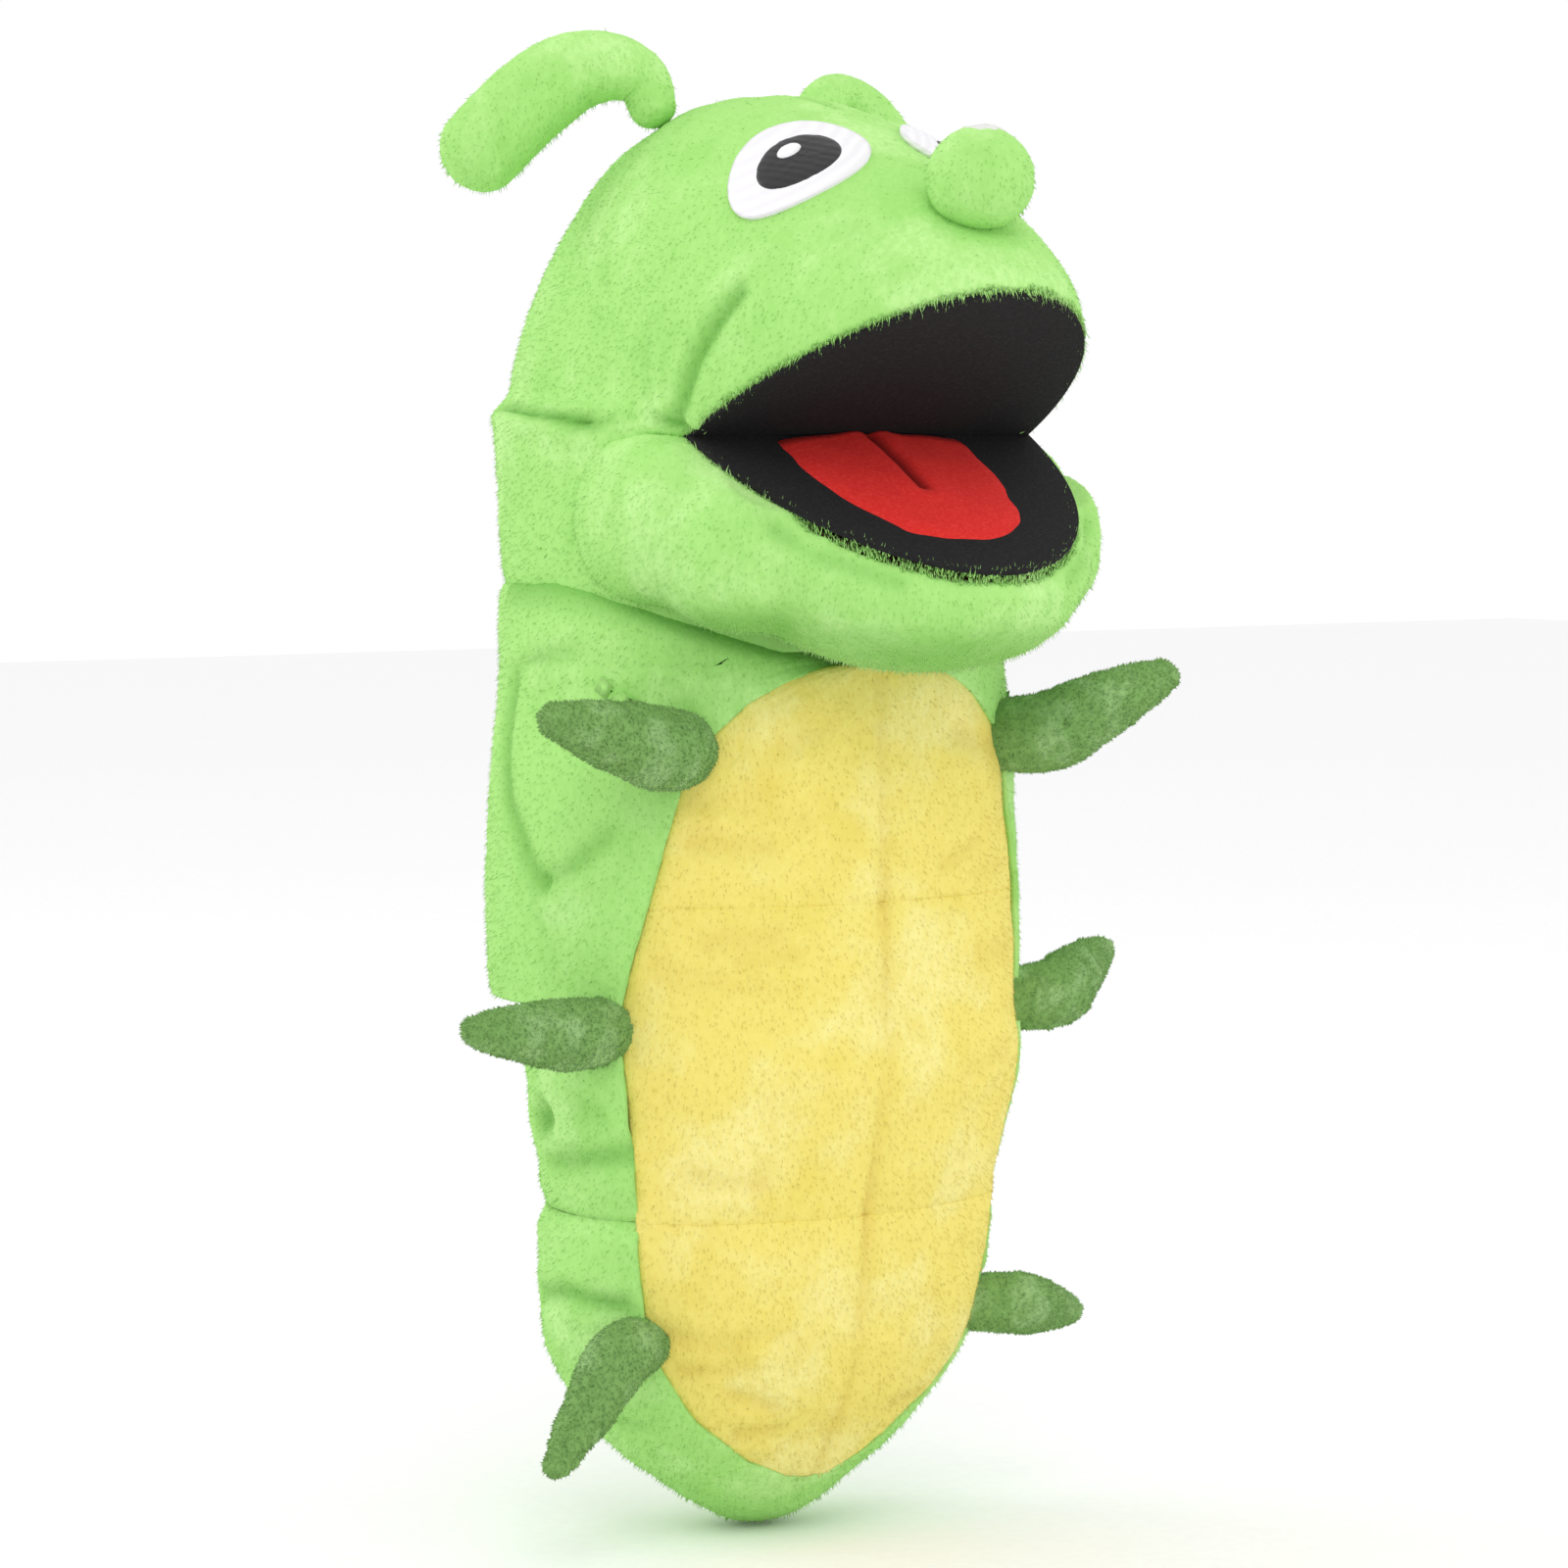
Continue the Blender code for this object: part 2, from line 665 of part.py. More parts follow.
def make_head(puppet, m):
    """Upper head: skin in two halves, stuffing, finger pocket, board, palate, eyes and nose."""
    puppet.joint("neck_nod", (0.0, 0.0, NECK_Z))

    def skin(u, v):
        return head_point(between(89.6, 3.0, u), between(UPPER_TILT + 0.5, BACK_OF_HEAD, v))

    for side, sign in (("left", 1.0), ("right", -1.0)):
        puppet.panel(
            "head_skin_" + side, mirrored(skin, sign), (12, 18), PLUSH, m["plush_green"], "neck_nod"
        )

    def stuffing(u, v):
        return head_point(between(138.0, 42.0, u), between(54.0, 150.0, v), PLUSH + 2 * GAP)

    puppet.panel("head_stuffing", stuffing, (12, 11), 9.0, m["fibre"], "neck_nod")
    puppet.panel(
        "finger_pocket", pocket(FINGER_POCKET, UPPER_TILT, 1.0), (14, 9), LINING, m["lining_black"], "neck_nod"
    )
    board = mouth_outline(head_point, UPPER_TILT + 2.0, PLUSH + 3.0)
    rise = LIP_LIFT + GAP + BOARD / 2
    puppet.plate("upper_mouth_board", board, BOARD, rise, UPPER_TILT, m["board"], "neck_nod")
    palate = mouth_outline(head_point, UPPER_TILT + 1.0, PLUSH + 2.0)
    puppet.plate(
        "palate_cloth", palate, FELT, LIP_LIFT - FELT / 2, UPPER_TILT, m["mouth_black"], "neck_nod"
    )

    for side, middle in (("left", EYE_SIDE), ("right", 180.0 - EYE_SIDE)):
        white = patch(middle, EYE_TILT, EYE_HALF_SIDE, EYE_HALF_TILT, 1.15)
        pupil = patch(middle, EYE_TILT, EYE_HALF_SIDE * 0.6, EYE_HALF_TILT * 0.57, 2.3)
        glint = patch(middle, EYE_TILT + 1.0, 2.6, 3.6, 3.45)
        layers = (("white", white, 20), ("pupil", pupil, 16), ("glint", glint, 10))
        for name, shape, steps in layers:
            slot = m["thread_black" if name == "pupil" else "eye_white"]
            puppet.panel("eye_%s_%s" % (name, side), shape, (steps, 3), 0.7, slot, "neck_nod")

    def nose(u, v):
        lean = Vector((0.0, -0.526, 0.851))
        turn, fall = 2 * math.pi * u, math.pi * v
        first = Vector((1.0, 0.0, 0.0))
        ring = math.sin(fall) * (math.cos(turn) * first + math.sin(turn) * lean.cross(first))
        rise = max(-math.cos(fall) * NOSE_RADIUS, -NOSE_FOOT)
        return NOSE_CENTRE + NOSE_RADIUS * ring + rise * lean

    puppet.stuffed("nose", nose, (12, 8), 1.2, (m["plush_green"], m["fibre"]), "neck_nod")


def make_jaw(puppet, m):
    """Lower jaw: chin skin, stuffing, thumb pocket, board, mouth floor, tongue and the mouth crease."""
    puppet.joint("jaw_hinge", (0.0, CREASE_Y, CREASE_Z))

    def chin(u, v):
        return jaw_point(between(175.0, 5.0, u), between(BACK_OF_JAW, LOWER_TILT - 0.5, v))

    puppet.panel("chin_skin", chin, (22, 8), PLUSH, m["plush_green"], "jaw_hinge")

    def stuffing(u, v):
        return jaw_point(between(148.0, 32.0, u), between(-65.0, -45.0, v), PLUSH + 2 * GAP)

    puppet.panel("chin_stuffing", stuffing, (16, 4), 5.0, m["fibre"], "jaw_hinge")
    puppet.panel(
        "thumb_pocket", pocket(THUMB_POCKET, LOWER_TILT, -1.0), (12, 8), LINING, m["lining_black"], "jaw_hinge"
    )
    board = mouth_outline(jaw_point, LOWER_TILT - 2.0, PLUSH + 3.0)
    drop = -LIP_LIFT - GAP - BOARD / 2
    puppet.plate("lower_mouth_board", board, BOARD, drop, LOWER_TILT, m["board"], "jaw_hinge")
    floor = mouth_outline(jaw_point, LOWER_TILT - 1.0, PLUSH + 2.0)
    puppet.plate(
        "mouth_floor_cloth", floor, FELT, FELT / 2 - LIP_LIFT, LOWER_TILT, m["mouth_black"], "jaw_hinge"
    )

    tongue = []
    for i in range(25):
        turn = math.pi * i / 24
        tongue.append((26.0 * squared(math.cos(turn), 0.7), 5.5 + 44.0 * math.sin(turn) ** 0.85))
    rise = FELT - LIP_LIFT + GAP + 0.7
    puppet.plate("tongue", tongue, 1.4, rise, LOWER_TILT, m["tongue_red"], "jaw_hinge")

    def crease(u, v):
        turn, end = -2 * math.pi * u, math.sin(math.pi * v) ** 0.3
        y = CREASE_Y + 2.6 * end * math.sin(turn)
        return Vector((between(-43.0, 43.0, v), y, CREASE_Z + 2.6 * end * math.cos(turn)))

    puppet.add("mouth_crease", bent_grid(crease, (10, 14)), m["mouth_black"], "neck_nod")


def limb_point(route, along, radius, u, across):
    """A point round a limb: its middle, the way it runs, its radius there, and a steady side direction."""
    side = along.cross(across).normalized()
    turn = 2 * math.pi * u
    return route + radius * (math.cos(turn) * side + math.sin(turn) * along.cross(side))


def dome(place, start, end):
    """How full a rounded end is: 0 at its end, 1 where it begins."""
    share = (place - start) / (end - start)
    return math.sqrt(max(0.0, 1.0 - share**2)) if share > 0.0 else 1.0


def make_antennae(puppet, m):
    for side, rows in ANTENNA_ROUTES.items():
        points = [Vector(row[:3]) for row in rows]
        radii = [row[3] for row in rows]

        def shape(u, v, points=points, radii=radii):
            last = len(points) - 1
            place = 0.5 - 0.5 * math.cos(math.pi * v) if v > 0.5 else 2 * (v**2)
            along = woven(points, min(place + 0.01, 1.0) * last) - woven(points, max(place - 0.01, 0.0) * last)
            full = dome(place, 0.86, 1.0) * dome(-place, -0.09, 0.0)
            radius = woven(radii, place * last) * full
            middle = woven(points, place * last)
            return limb_point(middle, along.normalized(), radius, u, Vector((0.3, 1.0, 0.0)))

        joint = "antenna_%s_flop" % side
        puppet.joint(joint, points[0])
        puppet.stuffed(
            "antenna_" + side, shape, (10, 14), 1.2, (m["plush_green"], m["fibre"]), joint
        )


def make_legs(puppet, m):
    for row, (z, angle, radius, *ways) in LEG_ROWS.items():
        for side, sign, (length, out, back, up) in zip(("left", "right"), (1.0, -1.0), ways):
            root = body_point(sign * angle, z)
            outward = (root - body_point(sign * angle, z, 1.0)).normalized()
            pivot = root + outward * LEG_STANDOFF
            along = Vector((sign * out, back, up)).normalized()

            def shape(u, v, pivot=pivot, along=along, radius=radius, length=length):
                s = between(-LEG_DOME, length, 0.5 - 0.5 * math.cos(math.pi * v))
                full = dome(-s, 0.0, LEG_DOME) * dome(s, length - 1.4 * LEG_TIP_RADIUS, length)
                size = between(radius, LEG_TIP_RADIUS, max(s, 0.0) / length) * full
                return limb_point(pivot + along * s, along, size, u, Vector((0.0, 1.0, 0.0)))

            joint = "leg_%s_%s_swing" % (row, side)
            puppet.joint(joint, pivot)
            puppet.stuffed(
                "leg_%s_%s" % (row, side), shape, (10, 10), 1.0, (m["plush_leg"], m["fibre"]), joint
            )


def main():
    clear_scene()
    m = {
        "plush_green": cloth("plush_green", GREEN),
        "plush_yellow": cloth("plush_yellow", YELLOW),
        "plush_leg": cloth("plush_leg", LEG_GREEN),
        "mouth_black": cloth("mouth_black", BLACK, 0.8),
        "tongue_red": cloth("tongue_red", RED, 0.8),
        "eye_white": cloth("eye_white", WHITE, 0.6),
        "thread_black": cloth("thread_black", BLACK, 0.4),
        "lining_green": cloth("lining_green", GREEN, 0.7),
        "lining_black": cloth("lining_black", BLACK, 0.7),
        "fibre": cloth("fibre", FIBRE),
        "wadding": cloth("wadding", FIBRE),
        "board": cloth("board", CARD, 0.7),
    }
    puppet = Puppet()
    make_sleeve(puppet, m)
    make_neck(puppet, m)
    make_segments(puppet, m)
    make_head(puppet, m)
    make_jaw(puppet, m)
    make_antennae(puppet, m)
    make_legs(puppet, m)


main()
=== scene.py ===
"""Plush grub hand puppet with a moving mouth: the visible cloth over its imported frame.

Sizes in this file are in millimetres from the puppet's foot, facing -Y, until a piece is placed.
"""

import math
import random

import bmesh
import bpy
import numpy as np
from bpy.props import FloatProperty, FloatVectorProperty, PointerProperty
from mathutils import Matrix, Vector, noise


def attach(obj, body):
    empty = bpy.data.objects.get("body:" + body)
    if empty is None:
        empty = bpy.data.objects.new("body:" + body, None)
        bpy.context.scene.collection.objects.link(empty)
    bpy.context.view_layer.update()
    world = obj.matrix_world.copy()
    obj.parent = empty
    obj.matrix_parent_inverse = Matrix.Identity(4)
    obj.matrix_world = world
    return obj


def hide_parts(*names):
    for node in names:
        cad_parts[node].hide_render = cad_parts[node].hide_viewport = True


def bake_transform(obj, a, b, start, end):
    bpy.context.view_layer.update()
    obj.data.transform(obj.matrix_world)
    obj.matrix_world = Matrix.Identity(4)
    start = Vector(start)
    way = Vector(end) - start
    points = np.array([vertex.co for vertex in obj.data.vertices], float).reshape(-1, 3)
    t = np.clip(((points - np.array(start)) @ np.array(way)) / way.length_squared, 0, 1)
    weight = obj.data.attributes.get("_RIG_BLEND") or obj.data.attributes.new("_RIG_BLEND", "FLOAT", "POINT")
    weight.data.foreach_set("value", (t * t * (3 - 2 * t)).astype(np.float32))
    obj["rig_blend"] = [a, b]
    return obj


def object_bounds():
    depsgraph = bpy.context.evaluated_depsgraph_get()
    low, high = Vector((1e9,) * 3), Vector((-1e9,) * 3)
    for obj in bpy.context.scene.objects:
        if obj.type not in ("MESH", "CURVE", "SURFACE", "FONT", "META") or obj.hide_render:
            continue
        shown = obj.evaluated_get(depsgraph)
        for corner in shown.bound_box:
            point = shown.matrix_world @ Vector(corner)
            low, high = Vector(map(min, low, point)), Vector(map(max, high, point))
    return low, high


bl_info = {
    "name": "Grub Hand Puppet",
    "version": (1, 0, 0),
    "blender": (4, 5, 0),
    "location": "View3D > Sidebar > Puppet",
    "description": "Sews a plush grub hand puppet with a moving mouth, piece by piece",
    "category": "Add Mesh",
}

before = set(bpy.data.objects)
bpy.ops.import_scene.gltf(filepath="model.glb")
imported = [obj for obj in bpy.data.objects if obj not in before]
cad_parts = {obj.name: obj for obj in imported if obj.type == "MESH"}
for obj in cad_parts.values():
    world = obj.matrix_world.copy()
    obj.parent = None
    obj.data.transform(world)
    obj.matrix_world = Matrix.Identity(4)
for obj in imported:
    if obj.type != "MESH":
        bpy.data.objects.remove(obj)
CAD_BOX = [list(corner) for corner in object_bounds()]

MM = 0.001
ENTRY = Vector((0.0, 42.0, 112.0))  # the hand opening, which is the frame's origin

# ---------------------------------------------------------------- body, head and jaw tables
BODY_STATIONS = (  # height, half width, half depth, middle
    (0.0, 0.0, 0.0, 0.0),
    (0.8, 6.5, 5.0, 0.0),
    (3.0, 12.0, 9.5, 0.0),
    (6.5, 18.0, 14.0, 0.0),
    (10.5, 23.5, 18.5, 0.0),
    (16.0, 30.5, 23.5, 0.0),
    (22.0, 37.0, 27.5, 0.0),
    (34.0, 47.0, 33.0, -1.0),
    (46.0, 53.0, 36.5, -2.5),
    (60.0, 55.5, 38.5, -4.0),
    (80.0, 57.0, 40.0, -6.0),
    (100.0, 59.5, 41.0, -8.5),
    (113.0, 61.5, 43.0, -8.5),
    (124.0, 63.0, 48.5, -1.5),
    (144.0, 63.5, 50.0, 0.0),
    (180.0, 62.0, 50.0, 0.0),
    (200.0, 60.0, 49.5, 0.5),
    (222.0, 58.0, 51.5, 2.5),
    (256.0, 58.5, 54.0, 4.0),
)
BODY_POWER = 0.9
BELLY_STATIONS = (  # height, half angle in degrees
    (13.4, 0.0),
    (14.6, 12.0),
    (18.5, 30.0),
    (30.0, 46.0),
    (47.0, 57.0),
    (70.0, 62.0),
    (113.0, 65.0),
    (150.0, 53.0),
    (178.0, 45.0),
    (188.0, 39.0),
    (196.0, 30.0),
    (201.0, 20.0),
    (204.0, 9.0),
    (205.0, 0.0),
)
CREASE_Y = -40.0  # the mouth's crease, which the head and jaw turn about
CREASE_Z = 255.5
CORNER_HALF_WIDTH = 48.0
UPPER_TILT = 28.0  # tilts of the two mouth planes, in degrees from level
LOWER_TILT = -29.0
HEAD_STATIONS = (  # tilt, reach, half width, power
    (28.0, 69.0, 48.5, 1.05),
    (39.0, 67.5, 50.0, 1.0),
    (50.0, 65.0, 51.0, 0.97),
    (64.0, 64.0, 53.0, 0.95),
    (78.0, 66.5, 54.0, 0.93),
    (95.0, 74.0, 55.5, 0.93),
    (112.0, 84.0, 56.5, 0.92),
    (125.0, 91.0, 57.0, 0.90),
    (135.0, 95.0, 57.0, 0.88),
    (150.0, 97.0, 58.0, 0.83),
    (165.0, 99.0, 59.5, 0.78),
    (180.0, 99.0, 60.0, 0.74),
)
JAW_STATIONS = (
    (-85.0, 50.0, 52.0, 0.90),
    (-66.0, 56.5, 54.0, 0.88),
    (-52.0, 64.0, 54.5, 0.88),
    (-42.0, 67.3, 54.0, 0.90),
    (-35.0, 67.3, 52.0, 0.95),
    (-29.0, 64.5, 48.5, 1.05),
)
NECK_Z = 222.0
CHEST_TOP_Z = 204.0
WAIST = Vector((0.0, -47.0, 150.0))
TAIL_SEAM_Z = 78.0
COLLAR_Z = 226.0
BACK_HEM_Z = 126.5
LEG_ROWS = {  # height, angle, radius, then for each side its length and the way it points
    "front": (185.5, 45.0, 9.4, (39.0, 0.93, -0.10, 0.36), (37.0, 0.96, -0.10, 0.24)),
    "middle": (122.0, 66.0, 8.2, (34.0, 0.85, 0.45, 0.26), (32.0, 0.98, -0.10, 0.10)),
    "rear": (50.0, 60.0, 7.4, (32.0, 0.90, 0.38, -0.20), (33.0, 0.64, -0.10, -0.76)),
}
LEG_STANDOFF = 8.4  # how far a leg's pivot lies outside the body
ANTENNA_ROUTES = {  # x, y, z, radius
    "left": (
        (23.0, 8.0, 331.0, 4.6),
        (29.5, 9.0, 334.5, 5.2),
        (38.0, 10.5, 331.0, 6.2),
        (45.5, 12.5, 322.5, 7.6),
        (51.5, 15.0, 311.5, 8.4),
        (55.5, 17.0, 299.5, 8.2),
    ),
    "right": (
        (-23.0, 8.0, 331.0, 4.6),
        (-25.0, 9.5, 337.0, 5.4),
        (-31.0, 12.5, 340.0, 6.6),
        (-40.0, 16.5, 338.5, 8.0),
        (-50.0, 21.0, 331.0, 8.6),
        (-58.5, 26.0, 321.0, 8.4),
    ),
}
NOSE_CENTRE = Vector((0.0, -87.0, 314.0))
EYE_SIDE = 65.0  # the eyes' middles on the head, in degrees
EYE_TILT = 80.0
PILE_LEAN = Vector((0.0, 0.3, -1.2))  # the pile is brushed downwards
PILE_WIDTH = 0.16
PILE_SEED = 12
FOLD_SHADE_LAYER = "fold"  # painted shade: how far each point lies into a fold or under an overhang, from 0 to 1


# ---------------------------------------------------------------- the shapes those tables give
def between(low, high, share):
    return low + (high - low) * share


def eased(low, high, value):
    """0 below low, 1 above high, and a smooth step between them."""
    share = min(max((value - low) / (high - low), 0.0), 1.0)
    return share * share * (3.0 - 2.0 * share)


def woven(values, place):
    """A smooth (Catmull-Rom) value between rows of values, at a place counted in rows."""
    last = len(values) - 1
    i = min(int(place), last - 1)
    t = place - i
    a, b, c, d = (values[min(max(k, 0), last)] for k in (i - 1, i, i + 1, i + 2))
    return 0.5 * (2 * b + (c - a) * t + (2 * a - 5 * b + 4 * c - d) * t**2 + (3 * b - 3 * c + d - a) * t**3)


def station(rows, at, smooth=True):
    """The values of a table at a place in its first column."""
    at = min(max(at, rows[0][0]), rows[-1][0])
    i = max(k for k in range(len(rows) - 1) if rows[k][0] <= at)
    share = (at - rows[i][0]) / (rows[i + 1][0] - rows[i][0])
    if smooth:
        return tuple(woven([row[c] for row in rows], i + share) for c in range(1, len(rows[0])))
    return tuple(between(a, b, share) for a, b in zip(rows[i][1:], rows[i + 1][1:]))


def squared(value, power):
    return math.copysign(abs(value) ** power, value)


def body_point(angle, z, inset=0.0):
    """A point on the body at an angle in degrees from the front, inset from the surface."""
    half_width, half_depth, middle = station(BODY_STATIONS, z)
    turn = math.radians(angle)
    x = max(half_width - inset, 0.0) * squared(math.sin(turn), BODY_POWER)
    y = middle - max(half_depth - inset, 0.0) * squared(math.cos(turn), BODY_POWER)
    return Vector((x, y, z))


def belly_angle(z):
    """Half angle of the belly at a height, which is nothing above and below it."""
    if z <= BELLY_STATIONS[0][0] or z >= BELLY_STATIONS[-1][0]:
        return 0.0
    return station(BELLY_STATIONS, z, smooth=False)[0]


def chest_top(angle):
    """Height of the neck fold: low under the chin and level from the sides back."""
    front = max(math.cos(math.radians(angle)), 0.0)
    return NECK_Z - (NECK_Z - CHEST_TOP_Z) * front**2


def crease_point(rows, side, tilt, lift=0.0):
    """A point of the head or jaw: side runs 0 to 180 degrees from +X to -X, tilt turns from forwards up."""
    reach, half_width, power = station(rows, tilt)
    t, phi = math.radians(side), math.radians(tilt)
    out = max(math.sin(t), 0.0)
    width = between(CORNER_HALF_WIDTH, half_width, out**0.6)
    across = squared(math.cos(t), power) * width
    ahead = Vector((0.0, -math.cos(phi), math.sin(phi)))
    point = Vector((across, CREASE_Y, CREASE_Z)) + ahead * reach * out**power
    if not lift:
        return point
    side = min(max(side, 1.0), 179.0)
    steps = ((side - 0.5, tilt), (side + 0.5, tilt), (side, tilt - 0.5), (side, tilt + 0.5))
    a, b, c, d = (crease_point(rows, *step) for step in steps)
    return point + (b - a).cross(c - d).normalized() * lift


def head_point(side, tilt, lift=0.0):
    return crease_point(HEAD_STATIONS, side, tilt, lift)


def jaw_point(side, tilt, lift=0.0):
    return crease_point(JAW_STATIONS, side, tilt, lift)


# ---------------------------------------------------------------- sewing tools
def bent_grid(surface, steps):
    """A grid bent over a surface(u, v) given in mm."""
    bm = bmesh.new()
    bmesh.ops.create_grid(bm, x_segments=steps[0], y_segments=steps[1], size=0.5)
    for vert in bm.verts:
        vert.co = surface(vert.co.x + 0.5, vert.co.y + 0.5)
    bmesh.ops.remove_doubles(bm, verts=bm.verts, dist=0.02)
    bmesh.ops.dissolve_degenerate(bm, edges=bm.edges, dist=0.01)
    return bm


def closed(bm):
    """Caps the open ends of a bent grid and turns its faces outwards."""
    bmesh.ops.holes_fill(bm, edges=[e for e in bm.edges if e.is_boundary], sides=0)
    bmesh.ops.triangulate(bm, faces=[f for f in bm.faces if len(f.verts) > 4])
    bmesh.ops.recalc_face_normals(bm, faces=bm.faces)
    return bm


def merged(lumps, voxel, passes):
    """Joins closed lumps into one skin of even small faces, as felting would, and smooths it."""
    joined = bmesh.new()
    for lump in lumps:
        mesh = bpy.data.meshes.new("lump")
        lump.to_mesh(mesh)
        lump.free()
        joined.from_mesh(mesh)
        bpy.data.meshes.remove(mesh)
    mesh = bpy.data.meshes.new("lumps")
    joined.to_mesh(mesh)
    joined.free()
    thing = bpy.data.objects.new("lumps", mesh)
    bpy.context.scene.collection.objects.link(thing)
    remesh = thing.modifiers.new("Felting", "REMESH")
    remesh.mode = "VOXEL"
    remesh.voxel_size = voxel
    result = bmesh.new()
    result.from_object(thing, bpy.context.evaluated_depsgraph_get())
    bpy.data.objects.remove(thing)
    bpy.data.meshes.remove(mesh)
    for _ in range(passes):
        bmesh.ops.smooth_vert(
            result, verts=result.verts, factor=0.5, use_axis_x=True, use_axis_y=True, use_axis_z=True
        )
    return result


def cut(bm, point, normal):
    """Cuts everything on the side of a plane that its normal points to."""
    bmesh.ops.bisect_plane(
        bm, geom=bm.verts[:] + bm.edges[:] + bm.faces[:], plane_co=point, plane_no=normal, clear_outer=True
    )


def distance_to_route(points, route):
    """How far each point is from a route of straight runs."""
    best = np.full(len(points), 1e9)
    for a, b in zip(route[:-1], route[1:]):
        a, run = np.array(a), np.array(b) - np.array(a)
        share = np.clip(((points - a) @ run) / max(run @ run, 1e-9), 0.0, 1.0)
        best = np.minimum(best, np.linalg.norm(points - (a + share[:, None] * run), axis=1))
    return best


def sculpt(bm, folds=(), puff=0.6, seed=0.0):
    """Presses folds and dimples into a skin and gives it the soft unevenness of stuffed cloth.

    A fold is its depth, its width and its route. The fold layer keeps how far into one each point lies, as
    painted shade for the cloth's colour.
    """
    bm.normal_update()
    layer = bm.verts.layers.float.get(FOLD_SHADE_LAYER) or bm.verts.layers.float.new(FOLD_SHADE_LAYER)
    points = np.array([v.co[:] for v in bm.verts])
    push = np.zeros(len(points))
    shade = np.zeros(len(points))
    for depth, width, route in folds:
        away = distance_to_route(points, route) / width
        groove = np.exp(-away * away)
        push -= depth * groove
        push += 0.35 * depth * np.exp(-((away - 2.0) ** 2))
        # painted shade: each groove darkens the colour, more for a deeper fold
        shade = np.maximum(shade, groove * min(depth / 2.0, 1.0))
    shift = Vector((seed, seed * 0.7, -seed))
    for vert, amount, dark in zip(bm.verts, push, shade):
        soft = puff * noise.noise((vert.co + shift) / 21.0) + 0.35 * puff * noise.noise((vert.co - shift) / 8.0)
        fine = 0.16 * noise.noise(vert.co / 2.1) + 0.10 * noise.noise(vert.co / 1.1)
        vert.co += vert.normal * (amount + soft + fine)
        vert[layer] = max(vert[layer], dark)


def place(name, bm, material, smooth=True):
    """Makes the finished piece from a bmesh in mm, in its place in the frame."""
    bmesh.ops.translate(bm, verts=bm.verts, vec=-ENTRY)
    bmesh.ops.scale(bm, verts=bm.verts, vec=(MM, MM, MM))
    for face in bm.faces:
        face.smooth = smooth
    mesh = bpy.data.meshes.new(name)
    bm.to_mesh(mesh)
    bm.free()
    mesh.materials.append(material)
    piece = bpy.data.objects.new(name, mesh)
    bpy.context.scene.collection.objects.link(piece)
    return piece


def row(point):
    """A point in mm as the frame has it, in metres."""
    return tuple((Vector(point) - ENTRY) * MM)


def walled(bm, thickness):
    """Gives an open skin its cloth thickness inwards, by a second skin joined to it along the edges."""
    bm.normal_update()
    rims = [e for e in bm.edges if e.is_boundary]
    outer, ways = bm.verts[:], [v.normal.copy() for v in bm.verts]
    made = bmesh.ops.duplicate(bm, geom=bm.verts[:] + bm.edges[:] + bm.faces[:])
    twin = made["vert_map"]
    for vert, way in zip(outer, ways):
        twin[vert].co = vert.co - way * thickness
    bmesh.ops.reverse_faces(bm, faces=[g for g in made["geom"] if isinstance(g, bmesh.types.BMFace)])
    for edge in rims:
        a, b = edge.verts
        face = edge.link_faces[0]
        corners = [loop.vert for loop in face.loops]
        if corners[(corners.index(a) + 1) % len(corners)] != b:
            a, b = b, a
        bm.faces.new((b, a, twin[a], twin[b]))


def tufts(bm, spots, length, width, lean, rng, spread=0.35):
    """Plants short closed spikes of pile on spots, each a place and the way the cloth faces there."""
    for place_at, facing in spots:
        way = (facing + lean + Vector([rng.uniform(-spread, spread) for _ in range(3)])).normalized()
        side = way.orthogonal().normalized() * width * rng.uniform(0.7, 1.2)
        side.rotate(Matrix.Rotation(rng.uniform(0, 2 * math.pi), 3, way))
        ring = [side, Matrix.Rotation(2.094, 3, way) @ side, Matrix.Rotation(4.189, 3, way) @ side]
        base = place_at - facing * 0.3
        tip = bm.verts.new(place_at + way * length * rng.uniform(0.6, 1.2))
        feet = [bm.verts.new(base + r) for r in ring]
        bm.faces.new((feet[2], feet[1], feet[0]))
        for a, b in ((0, 1), (1, 2), (2, 0)):
            bm.faces.new((feet[a], feet[b], tip))


def scattered(bm, per_mm2, rng=None, keep=None):
    """Evenly random spots over a skin's outer faces, each with the way it faces."""
    spots = []
    rng = rng or random.Random(PILE_SEED)
    for face in list(bm.faces):
        if keep and not keep(face):
            continue
        count = face.calc_area() * per_mm2
        count = int(count) + (rng.random() < count % 1.0)
        corners = [v.co for v in face.verts]
        for _ in range(count):
            a, b = rng.random(), rng.random()
            if len(corners) == 4:
                spot = corners[0].lerp(corners[1], a).lerp(corners[3].lerp(corners[2], a), b)
            else:
                if a + b > 1.0:
                    a, b = 1.0 - a, 1.0 - b
                spot = corners[0] + (corners[1] - corners[0]) * a + (corners[2] - corners[0]) * b
            spots.append((spot, face.normal.copy()))
    return spots


# ---------------------------------------------------------------- sizes and colours a user would change
def linear(code):
    """An sRGB hex colour as linear red, green, blue and alpha."""
    channels = [int(code[i : i + 2], 16) / 255.0 for i in (1, 3, 5)]
    return tuple(c / 12.92 if c <= 0.04045 else ((c + 0.055) / 1.055) ** 2.4 for c in channels) + (1.0,)


def length(name, description, default, low, high):
    """A length that a user may change, in metres."""
    return FloatProperty(
        name=name, description=description, default=default, min=low, max=high,
        precision=5, subtype="DISTANCE", unit="LENGTH",
    )


def colour(name, description, code):
    """A colour that a user may change, from its sRGB hex value."""
    return FloatVectorProperty(
        name=name, description=description, default=linear(code), min=0.0, max=1.0, size=4, subtype="COLOR"
    )


